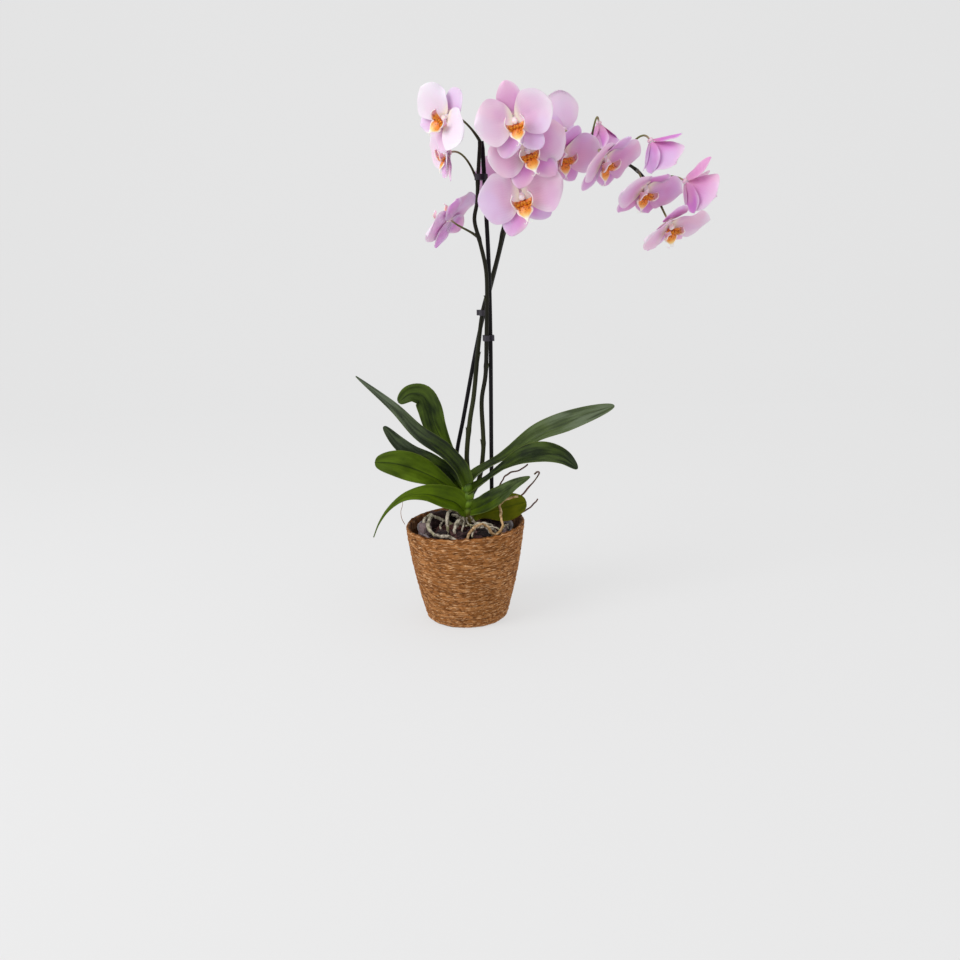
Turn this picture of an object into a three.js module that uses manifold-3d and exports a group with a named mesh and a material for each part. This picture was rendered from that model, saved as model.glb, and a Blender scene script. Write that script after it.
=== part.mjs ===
// A potted moth orchid: two flower spikes tied to sticks, nine leaves and aerial roots over bark,
// in a nursery pot that stands in a seagrass basket.
// Millimetres, +Z up. The origin is the middle of the basket's underside and -Y is the front.
import * as THREE from "three";
import { mergeVertices } from "three/addons/utils/BufferGeometryUtils.js";
import Module from "manifold-3d";

const wasm = await Module();
wasm.setup();

// Clearance that pieces keep where they touch.
const GAP = 0.3;

const BASKET = {
  height: 123,
  baseRadius: 51,
  rimRadius: 76,
  belly: 1.2,
  wall: 4.5,
  rows: 19,
  sides: 20,
  cordDepth: 1.3,
  lump: 0.45,
  footBevel: 3,
  rimLift: 3.2,
  rimLiftAngle: 30,
};

const NURSERY_POT = {
  bottomRadius: 42,
  rimRadius: 60,
  height: 113,
  wall: 1,
  sides: 16,
  lipOut: 1.6,
  lipTall: 3,
  softTall: 9,
  rimWave: 4,
};

const BARK = {
  edgeHeight: 112,
  crownHeight: 121,
  crownRadius: 22,
  bottom: 6.2,
  chips: 10,
  chipLong: [14, 23],
  chipWide: [9, 14],
  chipThick: [4, 7],
  reach: 46,
  seed: 11,
};

const STEM = {
  path: [
    [2, 2, 104],
    [3, 1, 130],
    [4, 0, 160],
    [4, 1, 190],
  ],
  radii: [6.5, 8, 8.5, 6],
  sides: 8,
  steps: 6,
};

const LEAF = { thickness: 1.6, rows: 7, cols: 2, baseWidth: 5, tipWidth: 0.7, neck: 1.3 };

// Each leaf's midrib from the stem to the tip, its half width, where it is widest (peak, the share of
// its length), how round its ends are (full, smaller is rounder), how deep its base is channelled (fold)
// and the way its upper face looks along its length.
const LEAVES = {
  leaf_1: {
    midrib: [[2, -5, 177], [-6, -8, 198], [-24, -14, 221], [-55, -26, 247], [-83, -36, 281],
      [-125, -48, 322]],
    halfWidth: 11.5,
    peak: 0.4,
    full: 0.75,
    fold: 0.5,
    faces: [[0.2, -0.8, 0.5], [0.5, -0.7, 0.5], [0.6, -0.6, 0.5]],
  },
  leaf_2: {
    midrib: [[1, 8, 178], [-6, 11, 198], [-21, 13, 219], [-36, 20, 248], [-43, 26, 271], [-51, 27, 286],
      [-66, 24, 289], [-81, 19, 279]],
    halfWidth: 15,
    peak: 0.68,
    full: 0.42,
    fold: 0.45,
    faces: [[0.2, -0.9, 0.3], [0.1, -1, 0.1], [0.1, -1, 0.2], [0.1, -0.9, 0.4], [-0.2, -0.9, 0.3]],
  },
  leaf_3: {
    midrib: [[-3, 6, 165], [-18, 13, 187], [-41, 17, 200], [-66, 20, 211], [-85, 24, 227], [-102, 29, 247]],
    halfWidth: 12,
    peak: 0.6,
    full: 0.48,
    fold: 0.5,
    faces: [[0.2, -0.8, 0.6], [0.3, -0.7, 0.6]],
  },
  leaf_4: {
    midrib: [[-2, 0, 150], [-13, -1, 166], [-31, -2, 181], [-61, -5, 197], [-86, -9, 206], [-111, -11, 209]],
    halfWidth: 19,
    peak: 0.68,
    full: 0.42,
    fold: 0.5,
    faces: [[0.2, -0.8, 0.6], [0.2, -0.85, 0.5]],
  },
  leaf_5: {
    midrib: [[-1, -5, 140], [-11, -11, 153], [-25, -18, 161], [-49, -26, 170], [-73, -34, 169],
      [-92, -40, 157], [-105, -44, 140], [-113, -47, 122]],
    halfWidth: 16.5,
    peak: 0.22,
    full: 4,
    neck: 2.5,
    fold: 0.45,
    faces: [[0.1, -0.7, 0.7], [0.1, -0.75, 0.65], [-0.6, -0.6, 0.5]],
  },
  leaf_6: {
    midrib: [[7, 3, 175], [18, 7, 186], [33, 12, 195], [53, 18, 204], [75, 24, 217], [98, 30, 231],
      [125, 36, 242], [157, 42, 253], [196, 47, 265]],
    halfWidth: 17,
    peak: 0.64,
    full: 0.55,
    fold: 0.8,
    faces: [[-0.5, -0.6, 0.6], [-0.5, -0.3, 0.8], [-0.3, -0.65, 0.7], [-0.2, -0.7, 0.7]],
  },
  leaf_7: {
    midrib: [[8, -2, 163], [20, -4, 174], [35, -6, 186], [56, -9, 200], [77, -12, 211], [102, -14, 216],
      [124, -16, 211], [142, -18, 197]],
    halfWidth: 16.5,
    peak: 0.66,
    full: 0.55,
    neck: 1.9,
    fold: 0.8,
    faces: [[-0.5, -0.5, 0.7], [-0.5, -0.3, 0.8], [-0.1, -0.6, 0.8], [0.4, -0.6, 0.6]],
  },
  leaf_8: {
    midrib: [[8, -5, 142], [26, -12, 152], [45, -18, 165], [64, -23, 180], [82, -27, 190]],
    halfWidth: 12.5,
    peak: 0.4,
    full: 0.62,
    fold: 0.35,
    faces: [[-0.3, -0.8, 0.5], [-0.35, -0.7, 0.6]],
  },
  leaf_9: {
    midrib: [[8, 4, 132], [29, 7, 137], [49, 9, 141], [66, 10, 145], [79, 10, 148]],
    halfWidth: 17.5,
    peak: 0.66,
    full: 0.42,
    fold: 0.2,
    faces: [[0, -0.95, 0.3], [0, -0.95, 0.25]],
  },
};

// The bloom's form at scale 1, in its own frame: +X to the viewer's right, +Y up, +Z to the viewer.
const BLOOM = {
  thickness: 1,
  hubRadius: 5,
  hubDepth: 3.4,
  columnLength: 9,
  columnRadius: 2.7,
  petal: { inner: 2, length: 46, halfWidth: 25, base: 3, peak: 0.5, full: 0.6, rise: 2, arch: -2 },
  sepal: { inner: 2.5, length: 43, halfWidth: 14, base: 3, peak: 0.5, full: 0.52, rise: -1, arch: -1 },
  petalAngles: [9, 171],
  lateralAngles: [238, 302],
  dorsalAngle: 90,
};

const LIP = {
  thickness: 1,
  middle: [[0, -3.9, 6.5], [0, -9.5, 12], [0, -17, 17], [0, -22, 19]],
  middleWidth: 8,
  side: [[2.5, -7, 9], [9, -5, 12], [11, 1, 15], [8, 6, 17]],
  sideWidth: 4.5,
  cupped: { spread: 0.5, raise: 3.5 },
};

// Every bloom's centre, the way it looks (turn to its left or right, then tilt up or down), its roll and
// scale, where its stalk leaves the spike (joint), and how far its petals and sepals lean forward, the two
// lower sepals apart where they differ. A stalk that passes over a neighbour has a bend and its own reach,
// and a bloom that isn't fully open is cupped, with its lip drawn in.
const BLOOMS = [
  { at: [67, -60, 605], turn: -5, tilt: -12, roll: 14, scale: 1, joint: 0.7,
    petal: 14, dorsal: 12, lateral: 10, reach: 6, bend: [0, -10, 85] },
  { at: [81, -36, 576], turn: 6, tilt: -16, roll: 20, scale: 1.04, joint: 0.655,
    petal: 14, dorsal: -25, lateral: 17 },
  { at: [76, -12, 527], turn: -4, tilt: -14, roll: 15, scale: 1.15, joint: 0.6,
    petal: 14, dorsal: -4, lateral: [14, -24] },
  { at: [125, 12, 577], turn: 34, tilt: -31, roll: 8, scale: 1.02, joint: 0.755,
    petal: 25, dorsal: 26, lateral: 13 },
  { at: [133, 72, 606], turn: -160, tilt: 5, roll: 75, scale: 1.06, joint: 0.775,
    petal: 12, dorsal: 50, lateral: 10 },
  { at: [174, 54, 612], turn: 150, tilt: -72, roll: 20, scale: 0.9, joint: 0.82,
    petal: 52, dorsal: 50, lateral: 50, cupped: true },
  { at: [170, -22, 568], turn: 50, tilt: -40, roll: 12, scale: 1.06, joint: 0.875,
    petal: 21, dorsal: 30, lateral: 16 },
  { at: [236, 46, 590], turn: 112, tilt: -48, roll: 17, scale: 0.96, joint: 0.885,
    petal: 52, dorsal: 32, lateral: 46, cupped: true },
  { at: [217, -32, 534], turn: 27, tilt: -50, roll: -1, scale: 1, joint: 0.925,
    petal: 22, dorsal: 30, lateral: 16 },
  { at: [276, 30, 541], turn: 109, tilt: -28, roll: 18, scale: 0.96, joint: 0.955,
    petal: 50, dorsal: 20, lateral: 44, cupped: true },
  { at: [247, -26, 493], turn: 38, tilt: -52, roll: 28, scale: 1.04, joint: 1,
    petal: 24, dorsal: 16, lateral: 13 },
  { at: [-7, -35, 613], turn: -44, tilt: -10, roll: -50, scale: 0.96, joint: 1,
    petal: 22, dorsal: 14, lateral: 14 },
  { at: [-8, 8, 578], turn: -75, tilt: -10, roll: -10, scale: 0.84, joint: 0.9,
    petal: 22, dorsal: 16, lateral: 16 },
  { at: [-10, 16, 502], turn: -114, tilt: 39, roll: -42, scale: 0.96, joint: 0.76,
    petal: 0, dorsal: -2, lateral: -2 },
  { at: [62, 52, 550], turn: -145, tilt: 0, roll: 0, scale: 0.96, joint: 0.635,
    petal: 14, dorsal: 12, lateral: 12 },
];

// The spikes rise from the stem behind the leaves, and the right one arches over. Each carries the
// blooms of these numbers.
const SPIKES = {
  left: {
    path: [[4, 5, 144], [6.6, 20, 152], [18, 29, 172], [25, 32, 213], [24.4, 30, 278], [29.7, 22, 311],
      [31.7, 14, 356], [33.2, 8, 405], [32.6, 6, 441], [26, 4, 474], [19.9, 2, 500], [23.3, 2, 520],
      [25.1, 2, 548], [28.3, 2, 589]],
    radii: [3.1, 2.2],
    blooms: [12, 13, 14],
  },
  right: {
    path: [[4, 5, 162], [5.7, 20, 172], [3.6, 27, 205], [8.8, 30, 253], [13.9, 32, 281], [21.7, 34, 348],
      [28.2, 34, 391], [37.5, 32, 422], [47.9, 28, 458], [57, 24, 497], [66, 22, 523], [79, 23, 550],
      [100, 26, 571], [126, 30, 581], [153, 31, 580], [178, 27, 574], [198, 20, 565], [215, 12, 553],
      [230, 5, 534], [239, 1, 516]],
    radii: [3.3, 1.7],
    blooms: [1, 2, 3, 4, 5, 6, 7, 8, 9, 10, 11, 15],
  },
};
const SPIKE_SIDES = 6;
const PEDICEL = { radii: [2, 1.4, 1.2, 1.2], sides: 5, steps: 4, reach: 14, lift: 4 };

const STICK_RADIUS = 2.6;
const STICKS = {
  stick_1: [[-22, 34, 60], [-9.9, 40, 205], [-0.3, 41, 251], [24, 43, 366], [46.8, 41, 450], [58.6, 38, 494],
    [72, 34, 540]],
  stick_2: [[34, 27, 60], [35.2, 30, 187], [36.1, 26, 279], [36.8, 21, 355], [36, 14, 453], [33.5, 10.5, 523],
    [31, 10, 590]],
};

// The clips tie a spike to a stick at these heights.
const CLIPS = {
  clip_1: { spike: "right", stick: "stick_1", height: 388 },
  clip_2: { spike: "left", stick: "stick_2", height: 358 },
  clip_3: { spike: "left", stick: "stick_2", height: 549 },
};
const CLIP = { tall: 7, wall: 1.5, wing: 4, wingThick: 1.6 };

// Roots are laid as drawn by hand: thick grey ones from a ring round the stem, a tan one in front and
// thin brown ones at the right. Their ends go into the bark.
const ROOTS = {
  roots_grey: {
    radius: 2.4,
    sides: 5,
    paths: [
      [[13, 0, 119], [8, 10, 120], [-3, 10, 119], [-8, 1, 119], [-3, -8, 119], [8, -8, 118], [13, 1, 119]],
      [[-1, -7, 122], [-5, -11, 136], [-14, -15, 146], [-21, -20, 143], [-22, -26, 128], [-24, -30, 108]],
      [[-3, -6, 118], [-8, -14, 133], [-12, -26, 127], [-15, -34, 110]],
      [[-1, -7, 119], [-25, -4, 128], [-42, -6, 137], [-51, -12, 135], [-52, -17, 118], [-50, -18, 104]],
      [[-42, -6, 137], [-46, -22, 134], [-43, -35, 124], [-33, -43, 121], [-20, -49, 121], [-12, -50, 117],
        [-8, -47, 106]],
      [[6, -7, 118], [14, -16, 127], [24, -20, 129], [34, -21, 124], [40, -24, 108]],
      [[8, 4, 118], [20, 18, 128], [27, 34, 126], [29, 43, 106]],
      [[-3, 7, 118], [-14, 20, 129], [-28, 30, 127], [-36, 36, 106]],
      [[2, 8, 116], [8, 24, 127], [6, 40, 125], [2, 48, 106]],
    ],
  },
  roots_tan: {
    radius: 1.9,
    sides: 5,
    paths: [
      [[0, -47, 104], [4, -49, 122], [11, -47, 131], [20, -44, 135], [29, -41, 130], [34, -40, 121],
        [42, -35, 120], [47, -28, 130], [45, -18, 139], [46, -12, 153], [56, -11, 159], [68, -10, 161]],
    ],
  },
  roots_brown: {
    radius: 1.3,
    sides: 5,
    paths: [
      [[38, 20, 104], [38, 22, 135], [42, 22, 159], [48, 22, 172], [54, 22, 181], [62, 22, 185],
        [72, 22, 188], [82, 22, 195]],
      [[38, 20, 104], [52, 20, 138], [66, 20, 148], [76, 20, 157], [86, 20, 169], [94, 20, 178],
        [96, 20, 186], [90, 20, 182]],
      [[38, 20, 104], [52, 15, 127], [64, 13, 133], [73, 13, 134], [82, 13, 138], [89, 13, 144],
        [94, 13, 151]],
    ],
  },
};

const COLOURS = {
  seagrass: 0xb5773f,
  potPlastic: 0x8f8c8f,
  bark: 0x3d2a26,
  stem: 0x6f9c35,
  leaf: 0x2f5a24,
  oldLeaf: 0x6b7422,
  spike: 0x39402a,
  stick: 0x16151a,
  clip: 0x1a181d,
  rootGrey: 0x9a9b86,
  rootTan: 0xc9a57d,
  rootBrown: 0x6d4b45,
  petal: 0xd9a9cf,
  lip: 0xd98a3a,
};

// The same sequence of numbers from 0 to 1 for the same seed.
function seededRandom(seed) {
  let state = seed;
  return () => {
    state = (state * 1664525 + 1013904223) % 4294967296;
    return state / 4294967296;
  };
}

// Solids

// A solid from a closed geometry. Triangles that merging has flattened are dropped.
function toSolid(geometry) {
  const bare = new THREE.BufferGeometry();
  bare.setAttribute("position", geometry.getAttribute("position"));
  bare.setIndex(geometry.index);
  const merged = mergeVertices(bare, 1e-4);
  const corners = merged.index.array;
  const kept = [];
  for (let i = 0; i < corners.length; i += 3) {
    const [a, b, c] = corners.slice(i, i + 3);
    if (a !== b && b !== c && c !== a) kept.push(a, b, c);
  }
  const vertProperties = merged.attributes.position.array;
  return new wasm.Manifold(new wasm.Mesh({ numProp: 3, vertProperties, triVerts: new Uint32Array(kept) }));
}

function toGeometry(solid) {
  const mesh = solid.getMesh();
  const geometry = new THREE.BufferGeometry();
  geometry.setAttribute("position", new THREE.BufferAttribute(mesh.vertProperties, 3));
  geometry.setIndex(new THREE.BufferAttribute(mesh.triVerts, 1));
  geometry.computeVertexNormals();
  return geometry;
}

function fuse(solids) {
  return solids.reduce((whole, piece) => whole.add(piece));
}

// The largest body of a solid, without the scraps that a cut leaves.
function mainBody(solid) {
  return solid.decompose().reduce((big, body) => (body.volume() > big.volume() ? body : big));
}

function vector(point) {
  return new THREE.Vector3(...point);
}

function curveThrough(points) {
  return new THREE.CatmullRomCurve3(points.map(vector));
}

// The value at share t of a list of values that are spread evenly.
function blendList(values, t) {
  const place = t * (values.length - 1);
  const i = Math.min(Math.floor(place), values.length - 2);
  return values[i] + (values[i + 1] - values[i]) * (place - i);
}

function blendVectors(vectors, t) {
  return new THREE.Vector3(...[0, 1, 2].map((axis) => blendList(vectors.map((v) => v[axis]), t)));
}

// A closed tube along a curve, with radii spread evenly from its start to its end.
function tube(curve, radii, sides, steps) {
  const frames = curve.computeFrenetFrames(steps);
  const positions = [];
  const index = [];
  for (let i = 0; i <= steps; i++) {
    const centre = curve.getPointAt(i / steps);
    const radius = blendList(radii, i / steps);
    for (let j = 0; j < sides; j++) {
      const angle = (2 * Math.PI * j) / sides;
      const point = centre.clone().addScaledVector(frames.normals[i], radius * Math.cos(angle));
      point.addScaledVector(frames.binormals[i], radius * Math.sin(angle));
      positions.push(...point);
    }
  }
  const at = (i, j) => i * sides + (j % sides);
  for (let i = 0; i < steps; i++)
    for (let j = 0; j < sides; j++) {
      index.push(at(i, j), at(i, j + 1), at(i + 1, j + 1));
      index.push(at(i, j), at(i + 1, j + 1), at(i + 1, j));
    }
  for (let j = 1; j < sides - 1; j++) {
    index.push(at(0, 0), at(0, j + 1), at(0, j));
    index.push(at(steps, 0), at(steps, j), at(steps, j + 1));
  }
  return closedSolid(positions, index);
}

// A solid from corners and triangles that all face out or all face in.
function closedSolid(positions, index) {
  const geometry = new THREE.BufferGeometry();
  geometry.setAttribute("position", new THREE.Float32BufferAttribute(positions, 3));
  geometry.setIndex(index);
  const solid = toSolid(geometry);
  if (solid.volume() > 0) return solid;
  const turned = [];
  for (let i = 0; i < index.length; i += 3) turned.push(index[i], index[i + 2], index[i + 1]);
  geometry.setIndex(turned);
  return toSolid(geometry);
}

// A closed sheet of even thickness round the middle surface point(u, v): u runs from 0 at the base to 1
// at the tip and v from -1 to 1 across. Both faces are split into triangles alike.
function blade(point, rows, cols, thickness) {
  const positions = [];
  const index = [];
  const step = 1e-3;
  for (const side of [1, -1])
    for (let i = 0; i <= rows; i++)
      for (let j = 0; j <= cols; j++) {
        const u = 0.5 - 0.5 * Math.cos((Math.PI * i) / rows);
        const v = (2 * j) / cols - 1;
        const along = point(Math.min(u + step, 1), v).sub(point(Math.max(u - step, 0), v));
        const across = point(u, v + step).sub(point(u, v - step));
        const normal = along.cross(across).normalize();
        positions.push(...point(u, v).addScaledVector(normal, (side * thickness) / 2));
      }
  const layer = (rows + 1) * (cols + 1);
  const at = (i, j, side) => side * layer + i * (cols + 1) + j;
  for (let i = 0; i < rows; i++)
    for (let j = 0; j < cols; j++) {
      index.push(at(i, j, 0), at(i + 1, j, 0), at(i + 1, j + 1, 0));
      index.push(at(i, j, 0), at(i + 1, j + 1, 0), at(i, j + 1, 0));
      index.push(at(i, j, 1), at(i + 1, j + 1, 1), at(i + 1, j, 1));
      index.push(at(i, j, 1), at(i, j + 1, 1), at(i + 1, j + 1, 1));
    }
  const edge = [];
  for (let i = 0; i < rows; i++) edge.push([i, 0]);
  for (let j = 0; j < cols; j++) edge.push([rows, j]);
  for (let i = rows; i > 0; i--) edge.push([i, cols]);
  for (let j = cols; j > 0; j--) edge.push([0, j]);
  edge.forEach(([i, j], k) => {
    const [m, n] = edge[(k + 1) % edge.length];
    index.push(at(i, j, 0), at(m, n, 1), at(m, n, 0));
    index.push(at(i, j, 0), at(i, j, 1), at(m, n, 1));
  });
  return closedSolid(positions, index);
}

// Half the width of a leaf, petal or lobe at share u of its length. peak is where it is widest, and full
// and neck say how soon it widens from the tip and from the base (smaller is sooner).
function halfWidthAt(u, { halfWidth, base, peak, full, tip = 0.6, neck = full }) {
  const warped = Math.pow(u, Math.log(0.5) / Math.log(peak));
  const swell = Math.pow(Math.max(Math.sin(Math.PI * warped), 0), neck + (full - neck) * u);
  return base * (1 - u) + tip * u + (halfWidth - base * (1 - peak)) * swell;
}

// A solid turned from a profile of [radius, height] points that starts and ends on the axis.
function turned(profile, sides, reshape = () => {}) {
  const lathe = new THREE.LatheGeometry(profile.map(([r, z]) => new THREE.Vector2(r, z)), sides);
  lathe.rotateX(Math.PI / 2);
  reshape(lathe.getAttribute("position"));
  return toSolid(lathe);
}

// Pots and bark

function basketRadius(z) {
  const share = z / BASKET.height;
  const straight = BASKET.baseRadius + (BASKET.rimRadius - BASKET.baseRadius) * share;
  return straight + BASKET.belly * Math.sin(Math.PI * share);
}

// Rows of cord: each bulges out between two grooves, and its lumps are staggered from row to row. The soft
// rim stands a little higher on one side.
function basketSolid() {
  const { height, wall, rows, sides, cordDepth, lump, footBevel, rimLift } = BASKET;
  const liftAngle = THREE.MathUtils.degToRad(BASKET.rimLiftAngle);
  const pitch = height / rows;
  const profile = [[0, 0], [BASKET.baseRadius - footBevel, 0]];
  for (let row = 0; row < rows; row++) {
    const middle = (row + 0.5) * pitch;
    profile.push([basketRadius(middle), middle]);
    if (row < rows - 1) profile.push([basketRadius(middle + pitch / 2) - cordDepth, middle + pitch / 2]);
  }
  const inside = (z) => basketRadius(z) - wall - cordDepth;
  profile.push([basketRadius(height) - wall / 2, height]);
  profile.push([inside(height), height - wall / 3], [inside(wall), wall], [0, wall]);
  const bulges = (position) => {
    for (let i = 0; i < position.count; i++) {
      const [x, y, z] = [position.getX(i), position.getY(i), position.getZ(i)];
      const radius = Math.hypot(x, y);
      const angle = Math.atan2(y, x);
      const row = z / pitch - 0.5;
      if (Math.abs(row - Math.round(row)) < 0.01 && radius > basketRadius(z) - 0.1) {
        const turn = Math.round((angle * sides) / (2 * Math.PI));
        const grow = 1 + ((Math.abs(turn + Math.round(row)) % 2) - 0.5) * 2 * (lump / radius);
        position.setXY(i, x * grow, y * grow);
      }
      if (z > wall) position.setZ(i, z + (z / height) ** 2 * rimLift * (1 + Math.cos(angle - liftAngle)));
    }
  };
  return turned(profile, sides, bulges);
}

const POT_FLOOR = BASKET.wall + GAP;

function nurseryRadius(z) {
  const { bottomRadius, rimRadius, height } = NURSERY_POT;
  return bottomRadius + ((rimRadius - bottomRadius) * (z - POT_FLOOR)) / height;
}

// The thin pot, whose soft rim stands higher at its two sides than at front and back.
function nurseryPotSolid() {
  const { wall, height, sides, lipOut, lipTall, softTall, rimWave } = NURSERY_POT;
  const top = POT_FLOOR + height;
  const profile = [
    [0, POT_FLOOR],
    [nurseryRadius(POT_FLOOR), POT_FLOOR],
    [nurseryRadius(top - softTall), top - softTall],
    [nurseryRadius(top - lipTall), top - lipTall],
    [nurseryRadius(top) + lipOut, top - lipTall],
    [nurseryRadius(top) + lipOut, top],
    [nurseryRadius(top) - wall, top],
    [nurseryRadius(top - softTall) - wall, top - softTall],
    [nurseryRadius(POT_FLOOR) - wall, POT_FLOOR + wall],
    [0, POT_FLOOR + wall],
  ];
  const wave = (position) => {
    for (let i = 0; i < position.count; i++) {
      if (position.getZ(i) < top - lipTall - 1) continue;
      const x = position.getX(i) / NURSERY_POT.rimRadius;
      position.setZ(i, position.getZ(i) + rimWave * (2 * x * x - 1));
    }
  };
  return turned(profile, sides, wave);
}

function barkHeight(radius) {
  const { edgeHeight, crownHeight, crownRadius, reach } = BARK;
  const share = Math.min(Math.max((radius - crownRadius) / (reach - crownRadius), 0), 1);
  return crownHeight + (edgeHeight - crownHeight) * share;
}

// Bark fills the pot in a low mound, with chips standing out of it, and everything that grows or is
// pushed into it stands in a plain hole.
function barkSolid(pushedIn) {
  const random = seededRandom(BARK.seed);
  const between = ([low, high]) => low + (high - low) * random();
  const clear = NURSERY_POT.wall + GAP;
  const spaceTop = BARK.crownHeight + 20;
  const inside = (z) => nurseryRadius(z) - clear;
  const space = turned([[0, BARK.bottom], [inside(BARK.bottom), BARK.bottom], [inside(spaceTop), spaceTop],
    [0, spaceTop]], NURSERY_POT.sides);
  const mound = turned([[0, BARK.bottom], [inside(BARK.bottom), BARK.bottom],
    [inside(BARK.edgeHeight), BARK.edgeHeight], [BARK.reach, BARK.edgeHeight],
    [BARK.crownRadius, BARK.crownHeight], [0, BARK.crownHeight]], NURSERY_POT.sides);
  const chips = [];
  for (let i = 0; i < BARK.chips; i++) {
    const angle = i * 2.4 + random();
    const radius = 12 + (BARK.reach - 8) * Math.sqrt((i + 0.5) / BARK.chips);
    const size = [BARK.chipLong, BARK.chipWide, BARK.chipThick].map(between);
    const chip = new THREE.BoxGeometry(...size);
    chip.rotateX((random() - 0.5) * 1.6);
    chip.rotateY((random() - 0.5) * 1.2);
    chip.rotateZ(random() * Math.PI);
    chip.translate(radius * Math.cos(angle), radius * Math.sin(angle), barkHeight(radius) + 0.5);
    chips.push(toSolid(chip));
  }
  return mainBody(fuse([mound, ...chips]).intersect(space).subtract(fuse(pushedIn)));
}

// Stem, leaves, sticks and roots

function stemSolid(extra = 0) {
  return tube(curveThrough(STEM.path), STEM.radii.map((r) => r + extra), STEM.sides, STEM.steps);
}

// A leaf follows its midrib, is channelled at the base and flattens out towards the tip.
function leafSolid(leaf) {
  const curve = curveThrough(leaf.midrib);
  const outline = { base: LEAF.baseWidth, tip: LEAF.tipWidth, neck: LEAF.neck, ...leaf };
  const point = (u, v) => {
    const tangent = curve.getTangentAt(u);
    const across = tangent.clone().cross(blendVectors(leaf.faces, u)).normalize();
    const face = across.clone().cross(tangent);
    const half = halfWidthAt(u, outline);
    const channel = leaf.fold * Math.pow(1 - u, 1.5) + 0.12;
    const middle = curve.getPointAt(u).addScaledVector(face, half * Math.abs(v) * channel);
    return middle.addScaledVector(across, half * v);
  };
  return blade(point, LEAF.rows, LEAF.cols, LEAF.thickness);
}

function circle(radius, sides) {
  const corners = [];
  for (let i = 0; i < sides; i++) {
    const angle = (2 * Math.PI * i) / sides;
    corners.push(new THREE.Vector2(radius * Math.cos(angle), radius * Math.sin(angle)));
  }
  return new THREE.Shape(corners);
}

function stickSolid(points, extra = 0) {
  const extrudePath = curveThrough(points);
  return toSolid(new THREE.ExtrudeGeometry(circle(STICK_RADIUS + extra, 6), { steps: 8, extrudePath }));
}

function rootsSolid({ radius, sides, paths }, extra = 0) {
  const radii = [radius, radius, radius * 0.8].map((r) => r + extra);
  return fuse(paths.map((path) => tube(curveThrough(path), radii, sides, path.length - 1)));
}

// Spikes

// The bloom's axes in the part's frame: X to the viewer's right, Y up, Z the way it looks.
function bloomBasis({ turn, tilt, roll }) {
  const [az, el] = [turn, tilt].map(THREE.MathUtils.degToRad);
  const look = new THREE.Vector3(Math.sin(az) * Math.cos(el), -Math.cos(az) * Math.cos(el), Math.sin(el));
  const up = new THREE.Vector3(-Math.sin(az) * Math.sin(el), Math.cos(az) * Math.sin(el), Math.cos(el));
  const right = up.clone().cross(look);
  const basis = new THREE.Matrix4().makeBasis(right, up, look);
  return basis.multiply(new THREE.Matrix4().makeRotationZ(THREE.MathUtils.degToRad(roll)));
}

// A stalk that leaves the spike at a joint and meets the back of the bloom square on.
function pedicelCurve(spikeCurve, bloom) {
  const look = new THREE.Vector3(0, 0, 1).transformDirection(bloomBasis(bloom));
  const back = BLOOM.hubDepth * bloom.scale + GAP;
  const start = spikeCurve.getPointAt(bloom.joint);
  const end = vector(bloom.at).addScaledVector(look, -back);
  const before = end.clone().addScaledVector(look, -(bloom.reach ?? PEDICEL.reach));
  const after = start.clone().lerp(before, 0.4);
  after.z += PEDICEL.lift;
  if (bloom.bend) after.add(vector(bloom.bend));
  return new THREE.CubicBezierCurve3(start, after, before, end);
}

function spikeSolid(name, extra = 0) {
  const { path, radii, blooms } = SPIKES[name];
  const curve = curveThrough(path);
  const grown = (list) => list.map((r) => r + extra);
  const pieces = [tube(curve, grown(radii), SPIKE_SIDES, Math.round(1.1 * path.length))];
  for (const number of blooms) {
    const stalk = pedicelCurve(curve, BLOOMS[number - 1]);
    pieces.push(tube(stalk, grown(PEDICEL.radii), PEDICEL.sides, PEDICEL.steps));
  }
  return fuse(pieces);
}

// A clip is a band round the spike and the stick, with a small wing on either side.
function clipSolid({ spike, stick, height }) {
  const nearest = (points) => {
    const samples = curveThrough(points).getSpacedPoints(400);
    return samples.reduce((best, p) => (Math.abs(p.z - height) < Math.abs(best.z - height) ? p : best));
  };
  const a = nearest(SPIKES[spike].path);
  const b = nearest(STICKS[stick]);
  const half = a.distanceTo(b) / 2;
  const round = STICK_RADIUS + GAP + CLIP.wall;
  const outline = new THREE.Shape();
  outline.absarc(half, 0, round, -Math.PI / 2, Math.PI / 2);
  outline.absarc(-half, 0, round, Math.PI / 2, (3 * Math.PI) / 2);
  const options = { depth: CLIP.tall, bevelEnabled: false, curveSegments: 3 };
  const band = new THREE.ExtrudeGeometry(outline, options);
  const wings = new THREE.BoxGeometry(CLIP.wingThick, 2 * (round + CLIP.wing), CLIP.tall);
  wings.translate(0, 0, CLIP.tall / 2);
  const place = new THREE.Matrix4().makeRotationZ(Math.atan2(b.y - a.y, b.x - a.x));
  place.setPosition((a.x + b.x) / 2, (a.y + b.y) / 2, height - CLIP.tall / 2);
  const whole = fuse([toSolid(band.applyMatrix4(place)), toSolid(wings.applyMatrix4(place))]);
  return mainBody(whole.subtract(spikeSolid(spike, GAP)).subtract(stickSolid(STICKS[stick], GAP)));
}

// Blooms

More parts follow.
